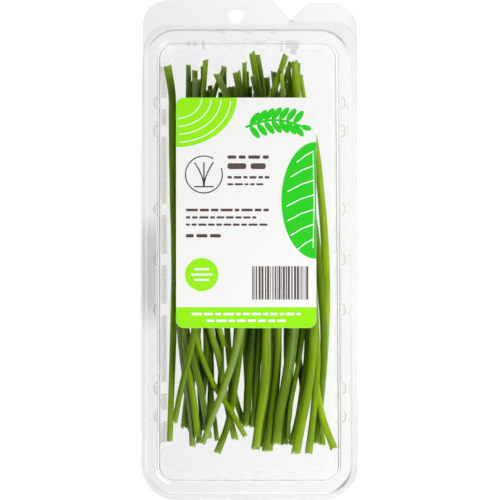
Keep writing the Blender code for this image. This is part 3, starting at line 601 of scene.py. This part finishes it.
def build_strip(name, centre_x):
    """One living-hinge strip, folded from the tray's flange round to the lid's."""
    path = strip_path()
    strip = SheetMesh()
    for side in (1, -1):
        for y, z, normal_y, normal_z in path:
            for column in STRIP_COLUMNS:
                strip.vertices.append((centre_x + column * STRIP_HALF,
                                       HINGE_Y + y + side * STRIP_THICK / 2 * normal_y,
                                       HINGE_Z + z + side * STRIP_THICK / 2 * normal_z))
    wide = len(STRIP_COLUMNS)
    tall = len(path)
    for layer in (0, tall * wide):
        for row in range(tall - 1):
            for column in range(wide - 1):
                corner = layer + row * wide + column
                strip.faces.append((corner, corner + 1, corner + wide + 1, corner + wide))
    border = list(range(wide))
    border += [row * wide + wide - 1 for row in range(1, tall)]
    border += [(tall - 1) * wide + column for column in range(wide - 2, -1, -1)]
    border += [row * wide for row in range(tall - 2, 0, -1)]
    strip.bridge(border, [corner + tall * wide for corner in border])
    strip.painted_lights = [0.0] * len(strip.vertices)
    return strip.finish(name)


# ---- leaves
def leaf_line(node_name):
    """Centres and radii along a leaf of the construction model, from its far end."""
    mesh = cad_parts[node_name].data
    places = np.array([vertex.co[:] for vertex in mesh.vertices])
    unique = np.unique(np.round(places, 7), axis=0)
    ordered = unique[np.argsort(-unique[:, 1])]
    rings = ordered.reshape(-1, CAD_SIDES, 3)
    centres = rings.mean(axis=1)
    radii = np.linalg.norm(rings - centres[:, None, :], axis=2).mean(axis=1)
    return centres, radii


def smooth_through(values, stations, samples):
    """Catmull-Rom values at the samples, through the values at the stations."""
    padded = np.vstack((2 * values[0] - values[1], values, 2 * values[-1] - values[-2]))
    reached = np.interp(samples, stations, np.arange(len(stations)))
    index = np.clip(reached.astype(int), 0, len(stations) - 2)
    t = (reached - index)[:, None]
    p0, p1, p2, p3 = (padded[index + step] for step in range(4))
    return 0.5 * (2 * p1 + (p2 - p0) * t + (2 * p0 - 5 * p1 + 4 * p2 - p3) * t ** 2
                  + (3 * p1 - p0 - 3 * p2 + p3) * t ** 3)


def leaf_stations(length):
    """Places along a leaf, close together near its ends."""
    ends = [value * MM for value in END_SPACING]
    count = round((length - 2 * ends[-1]) / LEAF_PITCH)
    middle = np.linspace(ends[-1], length - ends[-1], count + 1)[1:-1]
    return np.concatenate((ends, middle, [length - value for value in reversed(ends)]))


class Leaf:
    """One cut leaf: a hollow, slightly flattened tube with oblique torn ends."""

    def __init__(self, number):
        dice = random.Random(SEED * 1000 + number)
        centres, radii = leaf_line(f"chive_leaf_{number:02d}")
        steps = np.linalg.norm(np.diff(centres, axis=0), axis=1)
        knots = np.concatenate(([0.0], np.cumsum(steps)))
        self.samples = leaf_stations(knots[-1])
        self.line = smooth_through(centres, knots, self.samples)
        self.width = smooth_through(radii[:, None], knots, self.samples)[:, 0] * LEAF_SWELL
        self.tangents = np.gradient(self.line, self.samples, axis=0)
        self.tangents /= np.linalg.norm(self.tangents, axis=1)[:, None]
        self.phase = dice.uniform(0.0, 100.0)
        self.squash = [dice.choice(PRESSES) for _ in range(2)]
        self.slopes = [(dice.uniform(-0.8, 0.8), dice.uniform(-0.3, 0.7)) for _ in range(2)]
        self.flat = LEAF_FLAT + dice.uniform(-0.06, 0.05)
        self.vertices = []
        self.grain = []
        self.cut = []

    def ring(self, index, share, slide, paleness=None):
        """Vertices at a station, share of the radius wide and slid along; paleness if inside."""
        along = self.samples[index]
        length = self.samples[-1]
        to_end = min(along, length - along)
        end = 0 if along < length / 2 else 1
        sign = 1.0 if end == 0 else -1.0
        width = self.width[index]
        phase = self.phase
        press = self.squash[end] * max(0.0, 1.0 - to_end / PRESS_REACH) ** 2
        tangent = Vector(self.tangents[index])
        side = tangent.cross(Vector((0.0, 0.0, 1.0))).normalized()
        up = side.cross(tangent)
        wobble = 1.0 + WIDTH_WOBBLE * noise.noise(Vector((phase, along * WOBBLE_RATE, 0.0)))
        across = width * wobble * (1.0 + PRESS_SPREAD * abs(press))
        tall = width * wobble * self.flat * (1.0 - max(press, 0.0))
        turn = TWIST * noise.noise(Vector((phase + 9.0, along * TWIST_RATE, 1.0)))
        fade = max(0.0, 1.0 - to_end / CUT_REACH)
        tip = TIP_SHARE * max(0.0, 1.0 - to_end / TIP_REACH)
        pale = max(tip, 1.0 - to_end / CUT_FADE) if paleness is None else paleness
        for corner in range(LEAF_SIDES):
            angle = math.tau * corner / LEAF_SIDES
            cosine = math.cos(angle)
            sine = math.sin(angle)
            rib = 1.0 + RIB_DEPTH * math.cos(RIB_COUNT * angle + phase)
            ragged = noise.noise(Vector((phase + cosine * RAGS, sine * RAGS, end * 5.0)))
            oblique = self.slopes[end][0] * cosine + self.slopes[end][1] * sine
            shift = sign * fade ** 2 * width * (OBLIQUE * oblique + RAGGED * ragged - END_OUT[end])
            place = Vector(self.line[index]) + tangent * (shift + sign * slide)
            place += side * (math.cos(angle + turn) * across * share * rib)
            place += up * (math.sin(angle + turn) * tall * share * rib)
            self.vertices.append(tuple(place))
            self.grain.extend((cosine + phase, sine, along * 100.0))
            self.cut.append(pale)
        return list(range(len(self.vertices) - LEAF_SIDES, len(self.vertices)))

    def faces(self):
        """Faces of the tube, from deep in one end round the outside to deep in the other."""
        last = len(self.samples) - 1
        rings = [self.ring(index, *ring) for index, *ring in HOLLOW]
        for index in range(last + 1):
            rings.append(self.ring(index, 1.0, EDGE_SLIDE if index in (0, last) else 0.0))
        rings += [self.ring(last - index, *ring) for index, *ring in reversed(HOLLOW)]
        return [tuple(rings[0]), tuple(reversed(rings[-1])), *bands(rings)]


def build_leaf(number):
    leaf = Leaf(number)
    faces = leaf.faces()
    values = {"grain": ("FLOAT_VECTOR", "vector", leaf.grain), "cut": ("FLOAT", "value", leaf.cut)}
    piece = add_piece(f"leaf_{number:02d}", leaf.vertices, faces, values)
    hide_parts(f"chive_leaf_{number:02d}")
    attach(piece, "tray_body")
    return piece


# ---- materials
class Shader:
    """Small builder for the nodes of a material or a world."""

    def __init__(self, owner):
        self.owner = owner
        owner.use_nodes = True
        self.tree = owner.node_tree
        self.tree.nodes.clear()

    def node(self, kind, **values):
        """New node: names in small letters set it up, others feed its inputs by name or number."""
        made = self.tree.nodes.new("ShaderNode" + kind)
        for key, value in values.items():
            if key[0].islower():
                setattr(made, key, value)
                continue
            socket = made.inputs[int(key[1:]) if key[0] == "_" else key.replace("_", " ")]
            if isinstance(value, bpy.types.NodeSocket):
                self.tree.links.new(value, socket)
            else:
                socket.default_value = value
        return made

    def first(self, kind, **values):
        """First output of a new node."""
        return self.node(kind, **values).outputs[0]

    def math(self, operation, first, second=0.0, third=0.0, clamp=False):
        return self.first("Math", operation=operation, use_clamp=clamp, _0=first, _1=second,
                          _2=third)

    def product(self, first, second):
        return self.math("MULTIPLY", first, second)

    def span(self, value, low, high, first=0.0, last=1.0):
        """The value carried from low and high to first and last, and held beyond them."""
        return self.first("MapRange", Value=value, From_Min=low, From_Max=high, To_Min=first,
                          To_Max=last)

    def window(self, value, start, full, fading, end):
        """1 between full and fading, and 0 outside start and end."""
        return self.product(self.span(value, start, full), self.span(value, fading, end, 1.0, 0.0))

    def noise(self, vector, scale, detail, roughness=0.5):
        return self.node("TexNoise", Vector=vector, Scale=scale, Detail=detail,
                         Roughness=roughness).outputs["Fac"]

    def stretched(self, vector, factors):
        return self.first("VectorMath", operation="MULTIPLY", _0=vector, _1=factors)

    def ramp(self, factor, stops):
        """Colour ramp through (place, colour) stops."""
        made = self.node("ValToRGB", Fac=factor)
        elements = made.color_ramp.elements
        while len(elements) < len(stops):
            elements.new(0.5)
        for element, (place, colour) in zip(elements, stops):
            element.position = place
            element.color = (*colour, 1.0)
        return made.outputs["Color"]

    def mixed(self, blend, factor, first, second):
        """Two colours mixed by a factor."""
        return self.node("Mix", data_type="RGBA", blend_type=blend, Factor=factor, _6=first,
                         _7=second).outputs[2]

    def blended(self, factor, first, second):
        """Two shaders mixed by a factor."""
        return self.first("MixShader", _0=factor, _1=first, _2=second)

    def bump(self, height, strength, distance):
        return self.first("Bump", Height=height, Strength=strength, Distance=distance)

    def surface(self, shader, output="OutputMaterial"):
        self.node(output, Surface=shader)
        return self.owner


def wall_shade_window(shader, across, along, ends):
    """1 where the painted light counts: between the ends of the painted shade strip on the left wall, and
    everywhere left of that strip.
    """
    near_end, far_end = ends
    middle = shader.window(along, near_end, near_end + SHARP, far_end, far_end + SHARP)
    outer = shader.span(across, WALL_SHADE_SIDE, WALL_SHADE_SIDE + SHARP, 1.0, 0.0)
    return shader.math("MAXIMUM", middle, outer)


def header_level(shader, across, along, far_tint):
    """How much light the sheet keeps past the lid's far edge, and round its far right corner."""
    corner_x, corner_y = HEADER_CORNER
    past_corner = shader.first("CombineXYZ", X=shader.span(across, corner_x, corner_x + 1.0),
                               Y=shader.span(along, corner_y, corner_y + 1.0))
    away = shader.node("VectorMath", operation="LENGTH", _0=past_corner).outputs["Value"]
    radius = HEADER_FROM - corner_y
    beyond = shader.product(shader.span(away, radius, radius + SHARP),
                            shader.span(along, corner_y - HEADER_FADE, corner_y))
    return shader.span(beyond, 0.0, 1.0, 1.0, far_tint)


def left_flange_shade(shader, across, along):
    """How much light the sheet keeps along the painted grey shade on the left flange."""
    left = shader.span(across, LEFT_FLANGE_SHADE_SIDE, LEFT_FLANGE_SHADE_SIDE + LEFT_FLANGE_SHADE_FADE, 1.0, 0.0)
    return shader.span(shader.product(shader.window(along, *LEFT_FLANGE_SHADE_SPAN), left), 0.0, 1.0, 1.0, LEFT_FLANGE_SHADE_LEVEL)


def far_reflection_level(shader, across, along):
    """How much light the sheet keeps where painted grey reflections lie on its far wall."""
    reflected = 0.0
    for left, right, near in FAR_WALL_REFLECTIONS:
        patch = shader.window(across, left * MM, left * MM + SHARP, right * MM, right * MM + SHARP)
        patch = shader.product(patch, shader.span(along, near * MM, near * MM + SHARP))
        reflected = shader.math("MAXIMUM", patch, reflected)
    reflected = shader.product(reflected, shader.span(along, FAR_REFLECTION_END, FAR_REFLECTION_END + SHARP, 1.0, 0.0))
    return shader.span(reflected, 0.0, 1.0, 1.0, FAR_REFLECTION_TINT)


def clear_plastic(name, flange_shade_grey, far_tint=1.0, wall_shade_ends=None):
    """Clear sheet: open to lamps, darkened with painted shade and whitened with painted highlights by its
    painted light value, glossy where it is steep.
    """
    shader = Shader(bpy.data.materials.new(name))
    gauge = shader.node("Attribute", attribute_name="gauge").outputs["Fac"]
    where = shader.node("TexCoord").outputs["Object"]
    split = shader.node("SeparateXYZ", Vector=where)
    across = split.outputs["X"]
    along = split.outputs["Y"]
    level = header_level(shader, across, along, far_tint)
    # painted shade on the left flange
    level = shader.product(level, left_flange_shade(shader, across, along))
    if wall_shade_ends:
        # the painted shade strip on the tray's left wall
        gauge = shader.product(gauge, wall_shade_window(shader, across, along, wall_shade_ends))
        # painted reflections on the tray's far wall
        level = shader.product(level, far_reflection_level(shader, across, along))
    # painted shade: the sheet greyed by its painted light value, from clear through the flange's grey to
    # the crease lines and the darkest lines
    body = shader.ramp(gauge, ((0.0, CLEAR_TINT), (FLANGE_SHADE, flange_shade_grey), (0.5, CREASE_SHADE),
                               (1.0, DEEP_SHADE)))
    grey = shader.first("CombineColor", Red=level, Green=level, Blue=level)
    tint = shader.mixed("MULTIPLY", 1.0, body, grey)

    # mostly straight through, a little refracted, and mirroring at a slant
    normal = shader.bump(shader.noise(where, 38.0, 1.0), 0.02, 0.0001)
    rough = shader.span(shader.noise(where, 900.0, 3.0), 0.0, 1.0, 0.01, 0.05)
    glass = shader.first("BsdfGlass", Color=tint, Roughness=rough, IOR=SHEET_IOR, Normal=normal)
    through = shader.mixed("MULTIPLY", 1.0, tint, (CLEAR_SHARE, CLEAR_SHARE, CLEAR_SHARE, 1.0))
    straight = shader.first("BsdfTransparent", Color=through)
    mirror = shader.first("BsdfAnisotropic", Roughness=rough, Normal=normal)
    graze = shader.node("LayerWeight", Blend=0.5).outputs["Facing"]
    steep = shader.math("POWER", graze, MIRROR_POWER)
    mirrored = shader.math("MULTIPLY_ADD", steep, MIRROR_GAIN, MIRROR_SHARE)
    sheet = shader.blended(GLASS_SHARE, shader.blended(mirrored, straight, mirror), glass)

    # painted highlights: white lines lit through a diffuse and a translucent lobe, where the painted
    # light value is below nought
    white = shader.first("BsdfDiffuse", Color=HIGHLIGHT_WHITE)
    glowing = shader.first("BsdfTranslucent", Color=HIGHLIGHT_WHITE)
    painted_highlight = shader.first("AddShader", _0=white, _1=glowing)
    sheet = shader.blended(shader.math("MULTIPLY", gauge, -1.0, clamp=True), sheet, painted_highlight)

    # light from the lamps and between the leaves passes straight in
    path = shader.node("LightPath")
    let_in = shader.math("MAXIMUM", path.outputs["Is Shadow Ray"], path.outputs["Is Diffuse Ray"])
    open_side = shader.first("BsdfTransparent", Color=LET_IN)
    return shader.surface(shader.blended(let_in, sheet, open_side))


def leaf_material(name, dark, light, bloom_and_sheen_share):
    """Waxy leaf: long fine streaks of green, streaks of wax bloom with a painted sheen, paler at a cut,
    with a soft satin gloss.
    """
    shader = Shader(bpy.data.materials.new(name))
    grain = shader.node("Attribute", attribute_name="grain").outputs["Vector"]
    cut = shader.node("Attribute", attribute_name="cut").outputs["Fac"]
    streaks = shader.noise(shader.stretched(grain, (3.2, 3.2, 0.22)), 2.2, 4.0, 0.6)
    blots = shader.noise(grain, 0.45, 2.0)
    mottle = shader.math("MULTIPLY_ADD", blots, 0.5, shader.math("MULTIPLY_ADD", streaks, 0.6, -0.05))
    body = shader.ramp(mottle, ((0.3, dark), (0.66, light)))
    # pale bluish streaks along one side: wax bloom, partly a painted sheen that stands in for the lamps'
    # highlights
    side = shader.noise(shader.stretched(grain, (0.9, 0.9, 0.1)), 1.0, 1.0)
    bloomed_and_sheened = shader.mixed("MIX", shader.span(side, 0.5, 0.62, 0.0, bloom_and_sheen_share), body, WAX_BLOOM_AND_SHEEN)
    ribs = shader.noise(shader.stretched(grain, (9.0, 9.0, 0.5)), 2.0, 3.0)
    return shader.surface(shader.first(
        "BsdfPrincipled", Base_Color=shader.mixed("MIX", cut, bloomed_and_sheened, CUT_GREEN),
        Roughness=shader.span(streaks, 0.0, 1.0, 0.27, 0.42), Specular_IOR_Level=0.24,
        Subsurface_Weight=0.12, Subsurface_Radius=(0.35, 0.7, 0.1), Subsurface_Scale=0.0012,
        Normal=shader.bump(ribs, 0.35, 0.00012)))


def print_material(name, colour, fleck, rough_low, rough_high):
    """Paper or ink: a faint fibre mottle and an uneven satin coat."""
    shader = Shader(bpy.data.materials.new(name))
    where = shader.node("TexCoord").outputs["Object"]
    fibre = shader.noise(where, 1600.0, 4.0)
    return shader.surface(shader.first(
        "BsdfPrincipled", Base_Color=shader.ramp(fibre, ((0.35, fleck), (0.6, colour))),
        Roughness=shader.span(shader.noise(where, 40.0, 1.0), 0.0, 1.0, rough_low, rough_high),
        Specular_IOR_Level=0.25, Normal=shader.bump(fibre, 0.15, 0.00003)))


# ---- label
def arc_points(x, y, radius_x, radius_y, start, end, steps):
    """Points along an arc, from start to end in degrees."""
    points = []
    for step in range(steps + 1):
        angle = math.radians(start + (end - start) * step / steps)
        points.append((x + radius_x * math.cos(angle), y + radius_y * math.sin(angle)))
    return points


def corner_arc(corner, shift_x, shift_y):
    """The label's rounded corner at a place in LABEL_CORNERS, moved in from the edge."""
    start = corner * (INK_ARC + 1)
    arc = round_corners(LABEL_CORNERS, INK_ARC)[start:start + INK_ARC + 1]
    return [(x + shift_x, y + shift_y) for x, y in arc]


class Print:
    """Flat shapes of ink on the label, each a thin layer over those before."""

    def __init__(self):
        self.vertices = []
        self.faces = []
        self.inks = []

    def shape(self, outline, ink, layer):
        start = len(self.vertices)
        height = LABEL_TOP + layer * INK_STEP
        self.vertices.extend((x * MM, y * MM, height) for x, y in outline)
        for triangle in tessellate_polygon([[Vector((x, y, 0.0)) for x, y in outline]]):
            self.faces.append(tuple(start + index for index in triangle))
            self.inks.append(ink)

    def bar(self, x0, y0, x1, y1, ink, layer, round_off=0.0):
        if round_off > 0.0:
            self.shape(round_corners(box_corners(x0, x1, y0, y1, round_off), 5), ink, layer)
        else:
            self.shape(((x0, y0), (x1, y0), (x1, y1), (x0, y1)), ink, layer)

    def oval(self, x, y, half_long, half_short, tilt, ink, layer, steps=28):
        outline = []
        for step in range(steps):
            angle = math.tau * step / steps
            along = half_long * math.cos(angle)
            across = half_short * math.sin(angle)
            outline.append((x + along * math.cos(tilt) - across * math.sin(tilt),
                            y + along * math.sin(tilt) + across * math.cos(tilt)))
        self.shape(outline, ink, layer)

    def line(self, points, width, ink, layer):
        """Stroke of even width along the points."""
        left = []
        right = []
        for index, (x, y) in enumerate(points):
            x0, y0 = points[max(index - 1, 0)]
            x1, y1 = points[min(index + 1, len(points) - 1)]
            length = math.hypot(x1 - x0, y1 - y0)
            nx = -(y1 - y0) / length * width / 2
            ny = (x1 - x0) / length * width / 2
            left.append((x + nx, y + ny))
            right.append((x - nx, y - ny))
        self.shape(right + left[::-1], ink, layer)

    def arc(self, x, y, radius_x, radius_y, start, end, width, ink, layer, steps=40):
        self.line(arc_points(x, y, radius_x, radius_y, start, end, steps), width, ink, layer)

    def dashes(self, x0, x1, y, tall, ink, layer, dice):
        """A row of plain dashes where a line of print would run."""
        x = x0
        while x < x1 - tall:
            long = min(tall * dice.uniform(1.6, 4.6), x1 - x)
            self.bar(x, y, x + long, y + tall, ink, layer, tall * 0.35)
            x += long + tall * 0.75


def print_quarter(art):
    """Lime quarter oval in the far left corner, with thin rings."""
    x = LABEL_LEFT + INK_EDGE
    y = LABEL_FAR - INK_EDGE
    wide, tall = 27.0, 22.0
    art.shape(corner_arc(2, INK_EDGE, -INK_EDGE) + arc_points(x, y, wide, tall, 270, 360, 32), LIME, 1)
    for share in (0.9, 0.74, 0.58, 0.42):
        art.arc(x, y, wide * share, tall * share, 274, 356, HAIRLINE, WHITE, 2)


def print_lens(art):
    """Green half lens on the right edge, with veins and a midrib."""
    x = LABEL_RIGHT
    middle, half, reach = 22.5, 26.0, 15.5
    art.shape(arc_points(x - INK_EDGE, middle, reach, half, 90, 270, 40), GREEN, 1)
    for step in range(7):
        y = middle - 19.5 + 6.5 * step
        deep = reach * math.sqrt(max(0.0, 1 - ((y - middle) / half) ** 2))
        art.line([(x - 1.2, y + 2.4), (x - 0.45 * deep, y + 0.6), (x - 0.85 * deep, y - 2.6)],
                 VEIN_LINE, WHITE, 2)
    art.line([(x - 1.4, middle - 21.0), (x - 1.0, middle), (x - 1.4, middle + 21.0)],
             HAIRLINE, WHITE, 3)


def print_sprig(art):
    """Green stem with leaves in pairs and one at its tip."""
    stem = []
    for step in range(25):
        share = step / 24
        stem.append((-2.0 + 26.0 * share, 55.0 + 3.2 * math.sin(share * math.pi)))
    art.line(stem, STEM_LINE, GREEN, 4)
    for index in range(7):
        x, y = stem[2 + 3 * index]
        for side in (-1, 1):
            art.oval(x + 2.0, y + side * 3.0, 3.3, 1.35, math.radians(side * 52), GREEN, 5 + index % 2)
    art.oval(25.0, 54.8, 2.4, 1.2, -0.3, GREEN, 5)


def print_rows(art, dice):
    """Dashes where small print would run."""
    for ink, rows in ((BROWN, BROWN_ROWS), (WHITE, WHITE_ROWS)):
        for row in rows:
            art.dashes(*row, ink, 2, dice)


def print_ring(art):
    """Brown open ring, with three blades on a line."""
    x, y, radius = -20.5, 34.0, 8.2
    art.arc(x, y, radius, radius, 60, 380, RING_LINE, BROWN, 1, 60)
    for lean in (-0.35, 0.0, 0.35):
        blade = []
        for step in range(9):
            share = step / 8
            blade.append((x + lean * 12.0 * share ** 1.7, y - 5.2 + 10.6 * share))
        art.line(blade, FINE_LINE, BROWN, 2)
    art.line([(x - 4.4, y - 5.4), (x + 4.4, y - 5.4)], FINE_LINE, BROWN, 2)


def print_bars(art, dice):
    """Brown block of plain upright bars."""
    x = 1.0
    while x < 25.0:
        wide = dice.choice((0.3, 0.3, 0.6, 0.9))
        art.bar(x, -21.6, x + wide, -6.8, BROWN, 1)
        x += wide + dice.choice((0.35, 0.35, 0.65))


def print_foot(art):
    """Lime disc with three white bars, and the lime band along the near edge."""
    x, y, radius = -21.5, -10.5, 7.4
    art.oval(x, y, radius, radius, 0.0, LIME, 1, 48)
    for offset, half in ((2.4, 3.4), (0.0, 4.8), (-2.4, 3.4)):
        art.bar(x - half, y - 0.45 + offset, x + half, y + 0.45 + offset, WHITE, 2, 0.4)
    band_top = -25.0
    band = corner_arc(0, -INK_EDGE, INK_EDGE)
    band += [(LABEL_RIGHT - INK_EDGE, band_top), (LABEL_LEFT + INK_EDGE, band_top)]
    art.shape(band + corner_arc(3, INK_EDGE, INK_EDGE), LIME, 1)


def build_label(materials):
    """The label: paper with softened edges, and flat ink printed on it."""
    dice = random.Random(SEED)
    art = Print()
    print_quarter(art)
    print_lens(art)
    print_sprig(art)
    print_rows(art, dice)
    print_ring(art)
    print_bars(art, dice)
    print_foot(art)

    paper = SheetMesh()
    outline = round_corners(metres(LABEL_CORNERS))
    rows = []
    for distance, height in PAPER_ROWS:
        rows.append(paper.loop(inset(outline, distance * MM), height, []))
    paper.bridge(*rows)
    paper.fill([rows[0]])
    paper.fill([rows[-1]])
    piece = add_piece("label_sheet", paper.vertices + art.vertices, paper.faces, {})

    # the same paper, flat shaded, and the ink with its faces turned up
    start = len(paper.vertices)
    faces = [tuple(polygon.vertices) for polygon in piece.data.polygons]
    for face in art.faces:
        a, b, c = (Vector(art.vertices[index]) for index in face)
        upright = (b - a).cross(c - a).z > 0.0
        turned = face if upright else face[::-1]
        faces.append(tuple(start + index for index in turned))
    mesh = bpy.data.meshes.new("label_sheet")
    mesh.from_pydata([tuple(vertex.co) for vertex in piece.data.vertices], [], faces)
    for material in materials:
        mesh.materials.append(material)
    mesh.polygons.foreach_set("material_index", [PAPER] * len(paper.faces) + art.inks)
    piece.data = mesh
    return piece


# ---- build the pack
tray_material = clear_plastic("tray_clear", TRAY_SHADE_GREY, TRAY_TAB_TINT, WALL_SHADE_ENDS)
lid_material = clear_plastic("lid_clear", LID_SHADE_GREY)
strip_material = clear_plastic("hinge_clear", LID_SHADE_GREY)
label_materials = [print_material(*ink) for ink in INKS]

tray = build_sheet("tray_shell", TRAY_BENDS, TRAY_FLANGE, TRAY_FLANGE_Z, side_marks=SIDE_FLUTES,
                   end_marks=END_FLUTES)
tray.data.materials.append(tray_material)
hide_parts("tray")
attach(tray, "tray_body")

lid = build_sheet("lid_shell", LID_BENDS, LID_FLANGE, LID_FLANGE_Z, holes=(HANG_HOLE,))
lid.data.materials.append(lid_material)
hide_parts("lid")
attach(lid, "lid_body")

for strip_node, strip_x in STRIP_CENTRES.items():
    strip = build_strip(strip_node + "_strip", strip_x)
    strip.data.materials.append(strip_material)
    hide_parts(strip_node)
    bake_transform(strip)

label = build_label(label_materials)
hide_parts("label")
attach(label, "lid_body")

tones = {name: leaf_material("leaf_" + name, *tone) for name, tone in LEAF_TONES.items()}
for number, tone in enumerate(TONE_OF_LEAF, start=1):
    leaf = build_leaf(number)
    leaf.data.materials.append(tones[tone])


# ---- light table, lamps, camera
def build_floor():
    """White light table, brighter to the right and most beside the middle of the pack."""
    mesh = bpy.data.meshes.new("light_table")
    corners = ((-1, -1), (1, -1), (1, 1), (-1, 1))
    mesh.from_pydata([(x * FLOOR_HALF, y * FLOOR_HALF, FLOOR_Z) for x, y in corners], [], [(0, 1, 2, 3)])
    floor = add_object("light_table", mesh)
    table = Shader(bpy.data.materials.new("table_white"))
    where = table.node("TexCoord").outputs["Object"]
    split = table.node("SeparateXYZ", Vector=where)
    glow = table.span(split.outputs["X"], *GLOW_SPAN)
    from_middle = table.math("ABSOLUTE", split.outputs["Y"])
    edge = table.product(table.span(split.outputs["X"], *EDGE_SPAN), table.span(from_middle, *EDGE_FADE))
    shine = table.first("Emission", Strength=table.math("ADD", glow, edge))
    matt = table.first("BsdfDiffuse", Color=FLOOR_GREY)
    mesh.materials.append(table.surface(table.first("AddShader", _0=shine, _1=matt)))


def add_lamp(name, place, size, power):
    """Soft lamp that faces the pack and isn't mirrored in its flat clear sheets."""
    lamp = bpy.data.lights.new(name, "AREA")
    lamp.size = size
    lamp.energy = power
    holder = add_object(name, lamp)
    holder.visible_glossy = False
    holder.location = place
    holder.rotation_euler = (-Vector(place)).to_track_quat("-Z", "Y").to_euler()


def build_world():
    """Soft surroundings, bright up to the horizon and dark overhead."""
    tent = Shader(bpy.data.worlds.new("tent"))
    where = tent.node("TexCoord").outputs["Generated"]
    height = tent.node("SeparateXYZ", Vector=where).outputs["Z"]
    stops = [(place, (level, level, level)) for place, level in SKY_LEVELS]
    sky = tent.first("Background", Color=tent.ramp(height, stops))
    scene.world = tent.surface(sky, "OutputWorld")


build_floor()
for lamp_name, lamp_values in LAMPS.items():
    add_lamp(lamp_name, *lamp_values)
build_world()

camera_data = bpy.data.cameras.new("camera")
camera_data.sensor_width = SENSOR
camera_data.lens = SENSOR * (CAMERA_HEIGHT - LID_FLANGE_Z) / VIEW_WIDTH
camera_data.clip_end = CAMERA_REACH
camera = add_object("camera", camera_data)
camera.location = (0.0, VIEW_CENTRE_Y, CAMERA_HEIGHT)
scene.camera = camera

scene.view_settings.view_transform = "Standard"
scene.cycles.max_bounces = 16
scene.cycles.transmission_bounces = 16
scene.cycles.transparent_max_bounces = 24
scene.cycles.glossy_bounces = 6
scene.cycles.diffuse_bounces = 4
